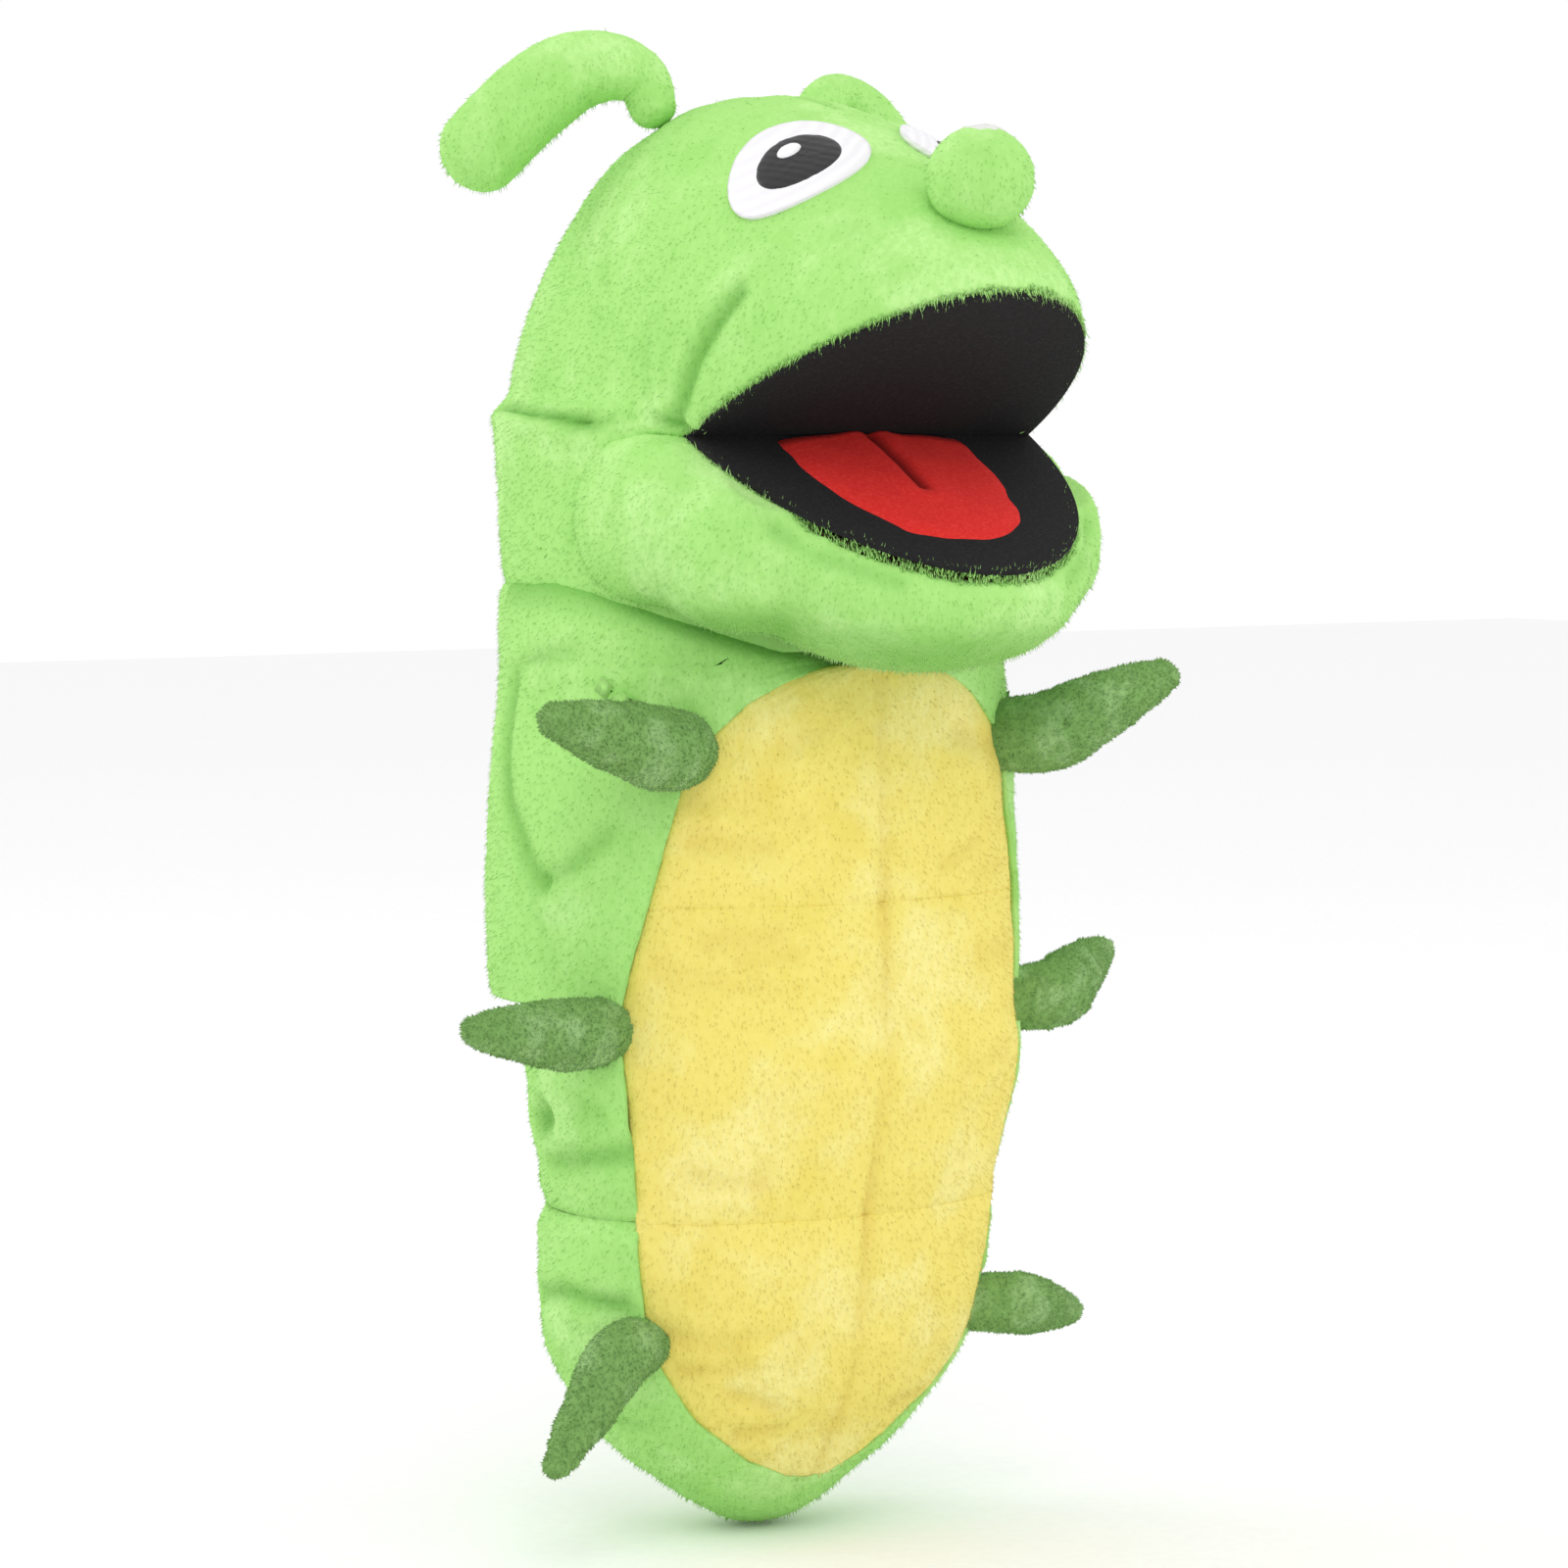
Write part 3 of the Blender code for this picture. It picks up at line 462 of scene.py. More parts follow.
class PuppetSizes(bpy.types.PropertyGroup):
    """Sizes and colours for sewing the puppet."""

    skin_step: length("Skin step", "Size of a face on the sculpted skins", 0.0015, 0.001, 0.006)
    cloth_wall: length("Plush thickness", "Thickness of the plush cloth", 0.0018, 0.0005, 0.004)
    pile_length: length("Pile length", "Length of the longest pile tufts", 0.00125, 0.0, 0.006)
    pile_count: FloatProperty(
        name="Pile density", description="Tufts on each square millimetre of plush",
        default=0.4, min=0.0, max=2.0,
    )
    green: colour("Green plush", "Head, jaw, sleeve and tail", "#a6dc7c")
    green_lit: colour("Green, brushed", "Where the green pile is brushed to the light", "#bbe893")
    green_shade: colour("Green, between", "Between the tufts of the green pile", "#92cd68")
    # painted shade, laid in the green's folds, at the collar and under the jaw
    green_deep: colour("Green, in folds", "Deep in the folds of the green plush", "#4a9428")
    yellow: colour("Yellow plush", "The belly", "#e9da76")
    yellow_lit: colour("Yellow, brushed", "Where the yellow pile is brushed to the light", "#ede392")
    yellow_shade: colour("Yellow, between", "Between the tufts of the yellow pile", "#e0cc60")
    # painted shade, laid in the belly's seam and quilting folds
    yellow_deep: colour("Yellow, in seams", "Deep in the belly's seams", "#c9a646")
    leg: colour("Leg terry", "The six legs", "#7aa35c")
    leg_lit: colour("Leg, brushed", "Where the terry's loops catch the light", "#93b878")
    leg_shade: colour("Leg, between", "Between the terry's loops", "#5e8446")
    # painted shade, for folds in the terry
    leg_deep: colour("Leg, in folds", "Deep in the folds of the terry", "#385a28")
    tongue: colour("Tongue felt", "The tongue", "#d82a26")
    tongue_lit: colour("Tongue, fibres", "The lighter fibres of the tongue", "#e63a34")
    # painted shade, laid in the groove of the seam down the tongue
    tongue_deep: colour("Tongue, seam", "The seam down the tongue", "#7a1210")
    mouth: colour("Mouth felt", "The inside of the mouth", "#1b1b1b")
    mouth_lit: colour("Mouth, fibres", "The lighter fibres of the mouth", "#262627")
    eye: colour("Eye thread", "The white of the eyes, between threads", "#e3e1e4")
    eye_lit: colour("Eye, lit", "The white of the eyes, along threads", "#ebe9ec")
    pupil: colour("Pupil thread", "The pupils, between threads", "#0d0d0f")
    pupil_lit: colour("Pupil, lit", "The pupils, along threads", "#1c1c1f")


def sizes():
    return bpy.context.scene.puppet_sizes


def in_mm(metres):
    """A length in metres as mm, clear of a stored property's rounding."""
    return round(metres / MM, 4)


def tones(name, *ends):
    """A cloth's colours as linear values: the plain one and those with the endings."""
    return [tuple(getattr(sizes(), name + end)) for end in ("",) + ends]


def skin_step():
    return in_mm(sizes().skin_step) * 1.0


def pile_amount():
    return sizes().pile_count * 1.0


# ---------------------------------------------------------------- materials
STITCH_WAVE = 157.0  # the wave scale of rows of thread 1 mm wide, a light and a dark row to a wave
WEAVE_WAVE = 160.0  # the same for the looser threads of a lining


def add(tree, kind, inputs=None, **settings):
    """Adds a node; inputs are numbers, colours or sockets to link from."""
    made = tree.nodes.new(kind)
    for key, value in settings.items():
        setattr(made, key, value)
    for key, value in (inputs or {}).items():
        socket = made.inputs[key]
        if isinstance(value, bpy.types.NodeSocket):
            tree.links.new(value, socket)
        else:
            socket.default_value = value
    return made


def start(name, roughness, sheen, sheen_tint, specular):
    """An empty cloth material: its tree, its shader and the object's coordinates."""
    material = bpy.data.materials.new(name)
    material.use_nodes = True
    tree = material.node_tree
    tree.nodes.clear()
    shader = add(
        tree,
        "ShaderNodeBsdfPrincipled",
        {
            "Roughness": roughness,
            "Specular IOR Level": specular,
            "Sheen Weight": sheen,
            "Sheen Roughness": 0.45,
            "Sheen Tint": sheen_tint,
        },
    )
    add(tree, "ShaderNodeOutputMaterial", {"Surface": shader.outputs["BSDF"]})
    where = add(tree, "ShaderNodeTexCoord").outputs["Object"]
    return material, tree, shader, where


def grain(tree, where, size_mm, stretch=(1.0, 1.0, 1.0), detail=2.0, roughness=0.5):
    """Soft random grain whose spots are about size_mm across."""
    scaled = add(tree, "ShaderNodeMapping", {"Vector": where, "Scale": stretch}).outputs[0]
    settings = {"Vector": scaled, "Scale": 1000.0 / size_mm, "Detail": detail, "Roughness": roughness}
    return add(tree, "ShaderNodeTexNoise", settings).outputs[0]


def finished(tree, shader, base, layers, relief=None):
    """Colours a cloth by patterns laid over its base colour, and raises it by one of them.

    A layer is a pattern, where it begins and is full, how much of it shows, and its colour.
    The relief is a pattern, its strength and its depth in mm.
    """
    for pattern, begin, full, amount, tint in layers:
        soft = (begin, full) != (0.0, 1.0)
        share = add(
            tree, "ShaderNodeMapRange",
            {"Value": pattern, "From Min": begin, "From Max": full, "To Max": amount},
            interpolation_type="SMOOTHSTEP" if soft else "LINEAR",
        ).outputs[0]
        base = add(
            tree, "ShaderNodeMix", {"Factor": share, "A": base, "B": tint}, data_type="RGBA", clamp_factor=True
        ).outputs[2]
    tree.links.new(base, shader.inputs["Base Color"])
    if relief:
        height, strength, depth_mm = relief
        bump = add(tree, "ShaderNodeBump", {"Height": height, "Strength": strength, "Distance": depth_mm * MM})
        tree.links.new(bump.outputs[0], shader.inputs["Normal"])


def plush(name, colours, pile_mm=1.3, patch_mm=26.0, sheen=0.25):
    """Knitted polyester plush: its cut pile gives a matt face with soft edges and brushed patches."""
    mid, lit, shade, fold_shade = colours
    material, tree, shader, where = start(name, 0.95, sheen, lit, 0.15)
    brushed = grain(tree, where, patch_mm, detail=3.0)
    turned = grain(tree, where, patch_mm * 0.35, (1.0, 1.0, 0.6), 2.0)
    pile = grain(tree, where, pile_mm, (1.0, 1.0, 0.55), 3.0, 0.65)
    # painted shade: the fold layer darkens the cloth in its folds, seams and undersides
    fold = add(tree, "ShaderNodeAttribute", attribute_name=FOLD_SHADE_LAYER).outputs["Fac"]
    layers = (
        (brushed, 0.47, 0.66, 1.0, lit),
        (turned, 0.5, 0.75, 0.45, shade),
        (pile, 0.62, 0.38, 0.32, shade),
        (fold, 0.0, 1.0, 0.75, fold_shade),
    )
    finished(tree, shader, mid, layers, (pile, 0.55, 0.55))
    return material


def felt(name, colours):
    """Pressed wool felt: fibres lying every way give a flat matt face with a faint mottle."""
    dark, light, *fold_shade = colours
    material, tree, shader, where = start(name, 0.9, 0.12, light, 0.2)
    fibres = grain(tree, where, 0.9, (1.0, 1.0, 1.0), 4.0, 0.7)
    layers = [(fibres, 0.4, 0.7, 1.0, light)]
    # painted shade: where a shade colour is given, the fold layer darkens the felt in its grooves
    if fold_shade:
        fold = add(tree, "ShaderNodeAttribute", attribute_name=FOLD_SHADE_LAYER).outputs["Fac"]
        layers.append((fold, 0.0, 1.0, 1.0, fold_shade[0]))
    finished(tree, shader, dark, layers, (fibres, 0.35, 0.25))
    return material


def woven_cloth(name, colours, thread_mm=0.8):
    """Plain-woven lining: crossed threads, drawn a little coarse so that they show."""
    dark, light = colours
    material, tree, shader, where = start(name, 0.8, 0.1, light, 0.2)
    settings = {"Vector": where, "Scale": WEAVE_WAVE / thread_mm, "Distortion": 0.4}
    weft, warp = (
        add(tree, "ShaderNodeTexWave", settings, bands_direction=way).outputs["Fac"] for way in ("Z", "X")
    )
    threads = add(tree, "ShaderNodeMath", {0: weft, 1: warp}, operation="MULTIPLY").outputs[0]
    finished(tree, shader, dark, ((threads, 0.0, 1.0, 1.0, light),), (threads, 0.4, 0.2))
    return material


def embroidery(name, colours, slope, thread_mm=0.9):
    """Satin stitch: rows of polyester thread side by side, which shine a little along their length."""
    dark, light = colours
    material, tree, shader, where = start(name, 0.45, 0.0, light, 0.5)
    turned = add(tree, "ShaderNodeMapping", {"Vector": where, "Rotation": (0.0, slope, 0.0)}).outputs[0]
    settings = {
        "Vector": turned, "Scale": STITCH_WAVE / thread_mm,
        "Distortion": 1.2, "Detail": 1.0, "Detail Scale": 2.0,
    }
    wave = add(tree, "ShaderNodeTexWave", settings, bands_direction="Z").outputs["Fac"]
    finished(tree, shader, dark, ((wave, 0.0, 1.0, 1.0, light),), (wave, 0.3, 0.2))
    return material


def wadding(name, colours):
    """Loose polyester fibre: white, soft and tangled."""
    dark, light = colours
    material, tree, shader, where = start(name, 1.0, 0.3, light, 0.1)
    tangle = grain(tree, where, 2.5, detail=6.0, roughness=0.8)
    finished(tree, shader, dark, ((tangle, 0.0, 1.0, 1.0, light),), (tangle, 0.8, 1.0))
    return material


def fibre_board(name, colours):
    """Pressed fibre board: dull brown with darker flecks."""
    dark, light = colours
    material, tree, shader, where = start(name, 0.75, 0.0, light, 0.3)
    flecks = grain(tree, where, 1.5, (1.0, 3.0, 1.0), 5.0, 0.7)
    finished(tree, shader, dark, ((flecks, 0.0, 1.0, 1.0, light),), (flecks, 0.2, 0.2))
    return material


def smooth_paper(name, colours):
    """Seamless studio paper: plain and matt."""
    dark, light = colours
    material, tree, shader, where = start(name, 0.9, 0.0, (1.0, 1.0, 1.0, 1.0), 0.2)
    finished(tree, shader, dark, ((grain(tree, where, 3.0), 0.0, 1.0, 1.0, light),))
    return material


# the last of these tones is painted shade in folds, seams and undersides
PLUSH_TONES = ("_lit", "_shade", "_deep")
RECIPES = {  # how each cloth is made, when it is first asked for
    # The pile's tufts are about 1.3 mm apart on the green and 1.2 mm on the yellow.
    "green_plush": lambda: plush("Short pile plush, green", tones("green", *PLUSH_TONES)),
    "yellow_plush": lambda: plush("Short pile plush, yellow", tones("yellow", *PLUSH_TONES), 1.2),
    # Terry's loops stand further apart and lie in smaller patches than a cut pile.
    "terry": lambda: plush("Looped terry, dark green", tones("leg", *PLUSH_TONES), 1.6, 9.0, 0.2),
    "black_felt": lambda: felt("Wool felt, black", tones("mouth", "_lit")),
    "red_felt": lambda: felt("Wool felt, red", tones("tongue", "_lit", "_deep")),
    # Threads of 0.9 mm are coarser than real ones, so that their rows show.
    "white_thread": lambda: embroidery("Satin stitch, white", tones("eye", "_lit"), 0.5),
    "black_thread": lambda: embroidery("Satin stitch, black", tones("pupil", "_lit"), -0.3),
    "green_lining": lambda: woven_cloth("Woven lining, green", (linear("#5d9a3f"), linear("#79b657"))),
    "black_lining": lambda: woven_cloth("Woven lining, black", (linear("#101010"), linear("#1e1e1e"))),
    "fibre": lambda: wadding("Polyester fibre filling", (linear("#dcdcd8"), linear("#f2f2ee"))),
    "wadding": lambda: wadding("Bonded polyester wadding", (linear("#d2d2cc"), linear("#ecece6"))),
    "board": lambda: fibre_board("Pressed fibre board", (linear("#8a6f4c"), linear("#a98a62"))),
    "paper": lambda: smooth_paper("Studio paper, white", (linear("#f4f4f4"), linear("#fbfbfb"))),
}
CLOTHS = {}


def cloth(name):
    """The named cloth, made the first time that it is asked for."""
    if name not in CLOTHS:
        CLOTHS[name] = RECIPES[name]()
    return CLOTHS[name]


def dress(piece, body, replaced, blend_to=None):
    """Tells the frame what a finished piece rides on and which nodes it stands for."""
    if blend_to:
        other, begin, end = blend_to
        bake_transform(piece, body, other, start=row(begin), end=row(end))
    else:
        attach(piece, body)
    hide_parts(*replaced)


def nap(bm, spots, rng=None):
    """Short pile that lies downwards over a skin."""
    tufts(bm, spots, in_mm(sizes().pile_length), PILE_WIDTH, PILE_LEAN, rng or random.Random(PILE_SEED))


# ---------------------------------------------------------------- head and jaw
def crease_solid(point, low, high, steps):
    """The closed solid between two tilts of the head or jaw."""
    return closed(bent_grid(lambda u, v: point(between(179.9, 0.1, u), between(low, high, v)), steps))


def neck_front(z):
    """How far forward the neck may reach at a height, so that it stays behind the mouth's crease."""
    return between(-47.0, -33.0, eased(206.0, 252.0, z))


def neck_solid():
    """The neck, a closed tube from inside the collar up into the head."""

    def surface(u, v):
        z = between(204.0, 262.0, v)
        angle = between(0.0, 360.0, u)
        inset = between(3.2, 0.6, eased(212.0, 226.0, z))
        point = body_point(angle, z, inset)
        point.y = max(point.y, neck_front(z))
        return point

    return closed(bent_grid(surface, (64, 20)))


def ball(centre, radii, power=1.0):
    """A closed ball, or a squarer cushion with a power under 1."""
    bm = bmesh.new()
    bmesh.ops.create_icosphere(bm, subdivisions=4, radius=1.0)
    for vert in bm.verts:
        vert.co = Vector([c + r * squared(x, power) for c, r, x in zip(centre, radii, vert.co)])
    return bm


def rim_roll(point, tilt, radius):
    """The rolled edge of a lip, as a closed tube along the mouth's rim."""
    def surface(u, v):
        side = between(0.5, 179.5, v)
        middle = point(side, tilt, -radius * 0.9)
        after = point(min(side + 1.0, 179.9), tilt, -radius * 0.9)
        before = point(max(side - 1.0, 0.1), tilt, -radius * 0.9)
        along = (after - before).normalized()
        away_from = Vector((1.0, 0.0, 0.0) if abs(along.x) < 0.7 else (0.0, 0.0, 1.0))
        across = along.cross(away_from).normalized()
        size = radius * between(0.55, 1.0, math.sin(math.radians(side)) ** 0.5)
        turn = 2 * math.pi * u
        return middle + size * (math.cos(turn) * across + math.sin(turn) * along.cross(across))

    return closed(bent_grid(surface, (16, 90)))


def press_flat(bm, tilt, side, room):
    """Keeps a skin on its own side of a mouth plane, where the felt lies."""
    phi = math.radians(tilt)
    ahead_way = Vector((0.0, -math.cos(phi), math.sin(phi)))
    up = Vector((0.0, math.sin(phi), math.cos(phi))) * -side
    for vert in bm.verts:
        off = vert.co - Vector((0.0, CREASE_Y, CREASE_Z))
        lift, ahead = off.dot(up), off.dot(ahead_way)
        if ahead > 1.0 and lift > room:
            vert.co -= up * (lift - room) * eased(1.0, 6.0, ahead)


CORNER_FOLDS = tuple(
    fold
    for s in (-1.0, 1.0)
    for fold in (
        (2.0, 1.7, (
            (s * 47, -42, 257), (s * 53, -30, 260), (s * 56, -16, 258), (s * 58, 4, 261), (s * 50, 34, 263),
        )),
        (1.7, 2.4, ((s * 44, -57, 287), (s * 49, -47, 272), (s * 49, -41, 260))),
        (1.0, 2.0, ((s * 52, -34, 284), (s * 53, -30, 270), (s * 52, -32, 262))),
        (1.1, 1.6, ((s * 57, -10, 257), (s * 55, -20, 263))),
    )
)
CROWN_SEAM = ((1.0, 1.3, tuple((0.0, p.y, p.z) for p in (head_point(90.0, t) for t in range(96, 176, 6)))),)


def outside_mouth(face):
    """Whether a face of the head or jaw lies outside the open mouth."""
    off = face.calc_center_median() - Vector((0.0, CREASE_Y, CREASE_Z))
    if off.y > 0.0:
        return True
    tilt = math.degrees(math.atan2(off.z, -off.y))
    return not LOWER_TILT - 3.0 < tilt < UPPER_TILT + 3.0 or abs(off.x) > 46.0


def lip_fringe(bm, point, tilt, rng):
    """The pile that stands over the felt along a lip."""
    spots = []
    for _ in range(1500):
        side = rng.uniform(3.0, 177.0)
        here = point(side, tilt + rng.uniform(-1.2, 1.2), -rng.uniform(0.4, 2.0))
        inwards = (Vector((0.0, CREASE_Y - 30.0, CREASE_Z)) - here).normalized()
        up = Vector((0.0, 0.0, -1.0 if tilt > 0 else 1.0))
        way = inwards * 0.3 + up * rng.uniform(0.4, 1.0) - inwards * rng.uniform(0.0, 0.7)
        spots.append((here, way.normalized()))
    tufts(bm, spots, 2.0, 0.22, Vector((0.0, 0.0, 0.0)), rng, 0.5)


class PUPPET_OT_head(bpy.types.Operator):
    """Sews the upper head and the neck as one stuffed skin"""

    bl_idname = "puppet.head"
    bl_label = "Head"

    def execute(self, context):
        rng = random.Random(11)
        bm = merged(
            [
                crease_solid(head_point, UPPER_TILT, 178.0, (60, 60)),
                neck_solid(),
                rim_roll(head_point, UPPER_TILT + 4.0, 4.4),
            ],
            skin_step(),
            6,
        )
        sculpt(bm, CORNER_FOLDS + CROWN_SEAM, 0.7, 3.0)
        cut(bm, (0.0, 0.0, 207.0), (0.0, 0.0, -1.0))
        spots = scattered(bm, pile_amount(), rng, outside_mouth)
        walled(bm, in_mm(sizes().cloth_wall))
        nap(bm, spots, rng)
        lip_fringe(bm, head_point, UPPER_TILT + 0.5, rng)
        piece = place("head_plush", bm, cloth("green_plush"))
        dress(piece, "head", ("head_skin_left", "head_skin_right", "neck_band"))
        return {"FINISHED"}


class PUPPET_OT_jaw(bpy.types.Operator):
    """Sews the padded lower jaw with its cheeks"""

    bl_idname = "puppet.jaw"
    bl_label = "Lower jaw"

    def execute(self, context):
        lumps = [
            crease_solid(jaw_point, -85.0, LOWER_TILT, (60, 30)),
            rim_roll(jaw_point, LOWER_TILT - 4.2, 4.8),
        ]
        for s in (-1.0, 1.0):
            lumps.append(ball((s * 42.0, -29.0, 237.0), (18.5, 25.0, 20.0), 0.8))
            lumps.append(ball((s * 38.0, -50.0, 231.0), (17.0, 22.0, 19.0), 0.85))
        lumps.append(ball((0.0, -66.0, 218.0), (34.0, 20.0, 15.0), 0.85))
        bm = merged(lumps, skin_step(), 12)
        press_flat(bm, LOWER_TILT, -1.0, 0.3)
        folds = []
        for s in (-1.0, 1.0):
            folds.append((1.3, 2.2, ((s * 56, -18, 254), (s * 60, -12, 246), (s * 60, -8, 236))))
            folds.append((0.8, 2.5, ((s * 46, -62, 240), (s * 40, -78, 231), (s * 24, -90, 224))))
        sculpt(bm, tuple(folds), 0.7, 7.0)
        # painted shade under the jaw, on faces turned down near the collar that the jaw overhangs
        layer = bm.verts.layers.float[FOLD_SHADE_LAYER]
        for vert in bm.verts:
            under = eased(0.45, 0.95, -vert.normal.z) * eased(226.0, 214.0, vert.co.z)
            vert[layer] = max(vert[layer], 0.7 * under)
        rng = random.Random(PILE_SEED)
        spots = scattered(bm, pile_amount(), rng, outside_mouth)
        nap(bm, spots, rng)
        lip_fringe(bm, jaw_point, LOWER_TILT - 0.5, rng)
        piece = place("jaw_plush", bm, cloth("green_plush"))
        dress(
            piece, "jaw", ("chin_skin", "throat_panel"),
            blend_to=("head", (0.0, -68.0, 207.0), (0.0, -48.0, 201.6)),
        )
        return {"FINISHED"}


def mouth_plane(outline, tilt, lift, thickness):
    """A flat cloth in a mouth plane from its outline (across, forwards), as a closed plate."""
    bm = bmesh.new()
    phi = math.radians(tilt)
    for across, ahead in outline:
        bm.verts.new(
            (
                across,
                CREASE_Y - ahead * math.cos(phi) + lift * math.sin(phi),
                CREASE_Z + ahead * math.sin(phi) + lift * math.cos(phi),
            )
        )
    face = bm.faces.new(bm.verts[:])
    face.normal_update()
    up = Vector((0.0, math.sin(phi), math.cos(phi)))
    if face.normal.dot(up) < 0:
        face.normal_flip()
    made = bmesh.ops.extrude_face_region(bm, geom=[face])
    top = [g for g in made["geom"] if isinstance(g, bmesh.types.BMVert)]
    bmesh.ops.translate(bm, verts=top, vec=up * thickness)
    bmesh.ops.recalc_face_normals(bm, faces=bm.faces)
    bmesh.ops.triangulate(bm, faces=bm.faces, ngon_method="BEAUTY")
    return bm


def mouth_outline(point, tilt, inset, steps=48):
    """The U of a mouth plane inside the lips: across and forwards from the crease."""
    crease = Vector((0.0, CREASE_Y, CREASE_Z))
    outline = []
    for i in range(steps + 1):
        flat = point(between(2.0, 178.0, i / steps), tilt, -inset) - crease
        outline.append((flat.x, max(math.hypot(flat.y, flat.z), 0.5)))
    return outline


class PUPPET_OT_mouth(bpy.types.Operator):
    """Lays the black felt in the mouth, with its fold"""

    bl_idname = "puppet.mouth"
    bl_label = "Mouth felt"

    def execute(self, context):
        upper = mouth_plane(mouth_outline(head_point, UPPER_TILT + 1.0, 1.2), UPPER_TILT, -1.6, 1.0)
        piece = place("palate_felt", upper, cloth("black_felt"), smooth=False)
        dress(piece, "head", ("palate_cloth",))
        lower = mouth_plane(mouth_outline(jaw_point, LOWER_TILT - 1.0, 1.2), LOWER_TILT, 0.6, 1.0)
        piece = place("mouth_floor_felt", lower, cloth("black_felt"), smooth=False)
        dress(piece, "jaw", ("mouth_floor_cloth",))

        def crease(u, v):
            turn, end = -2 * math.pi * u, math.sin(math.pi * v) ** 0.3
            y = CREASE_Y + 3.0 * end * math.sin(turn)
            return Vector((between(-47.0, 47.0, v), y, CREASE_Z + 3.0 * end * math.cos(turn)))

        piece = place("mouth_fold", closed(bent_grid(crease, (16, 24))), cloth("black_felt"))
        dress(piece, "head", ("mouth_crease",))
        return {"FINISHED"}


class PUPPET_OT_tongue(bpy.types.Operator):
    """Cuts the red felt tongue and stitches it down its middle"""

    bl_idname = "puppet.tongue"
    bl_label = "Tongue"

    def execute(self, context):
        def surface(u, v):
            turn = math.pi * u
            reach = 5.5 + 45.0 * math.sin(turn) ** 0.85
            across = between(0.0, 26.5 * squared(math.cos(turn), 0.7), v)
            ahead = between(4.0 + 16.0 * math.sin(turn), reach, v)
            crown = 1.2 * (1.0 - v * v) - 0.5 * eased(0.86, 1.0, v)
            return Vector((across, ahead, crown))

        bm = bent_grid(surface, (72, 26))
        bm.normal_update()
        layer = bm.verts.layers.float.new(FOLD_SHADE_LAYER)
        middle = [(0.0, 5.0, 0.0), (0.5, 16.0, 0.0), (0.0, 28.0, 0.0)]
        points = np.array([(v.co.x, v.co.y, 0.0) for v in bm.verts])
        away = distance_to_route(points, middle)
        # painted shade in the groove of the seam down the middle
        for vert, gap in zip(bm.verts, away):
            dark = math.exp(-((gap / 1.5) ** 2))
            swell = 0.5 * math.exp(-(((gap - 4.0) / 3.0) ** 2))
            vert.co.z += -1.1 * dark + swell + 0.25 * noise.noise(vert.co / 7.0)
            vert[layer] = dark
        phi = math.radians(LOWER_TILT)
        lift = 1.95
        for vert in bm.verts:
            across, ahead, up = vert.co
            up += lift
            vert.co = (
                across,
                CREASE_Y - ahead * math.cos(phi) + up * math.sin(phi),
                CREASE_Z + ahead * math.sin(phi) + up * math.cos(phi),
            )
        bmesh.ops.recalc_face_normals(bm, faces=bm.faces)
        if sum(f.normal.z for f in bm.faces) < 0:
            bmesh.ops.reverse_faces(bm, faces=bm.faces)
        walled(bm, 1.0)
        piece = place("tongue_felt", bm, cloth("red_felt"))
        dress(piece, "jaw", ("tongue",))
        return {"FINISHED"}


# ---------------------------------------------------------------- body, belly and tail
def middle_top(y):
    """Height of the stuffed middle's top, where the hand rests."""
    return 148.7 - 0.53 * (y - WAIST.y)


def green_side(u, z, tuck=0.8):
    """The angle of a green skin at u, from one edge of the belly round the back to the other."""
    edge = max(belly_angle(z) - math.degrees(tuck / 50.0), 0.0)
    return between(edge, 360.0 - edge, u)


BODY_FOLDS = (
    (1.3, 3.2, ((-61, 10, 200), (-62, 12, 186), (-63, 8, 172), (-63.5, -2, 160), (-63.5, -8, 154.5))),
    (0.8, 2.6, ((-63.5, -8, 154.5), (-62, -16, 158), (-58, -26, 166))),
    (1.0, 1.1, ((-63, -9, 156), (-62.5, -9, 140), (-61.5, -8, 127))),
    (1.0, 1.1, ((63, -9, 158), (62.5, -9, 140), (61.5, -8, 127))),
    (2.6, 3.6, ((-60.5, -3, 100.5), (-60, 0, 99))),
    (2.2, 3.2, ((-56, -19, 105.0), (-55, -21, 104))),
    (2.2, 3.4, ((58, -10, 101.0), (57, -12, 99))),
    (1.2, 3.0, ((-52, -34, 95), (-58, -18, 92), (-60, -4, 90))),
    (1.0, 2.4, ((-61, 2, 205), (-60, -18, 207), (-55, -32, 203))),
    (1.0, 2.6, ((61, 0, 206), (59, -20, 203))),
)


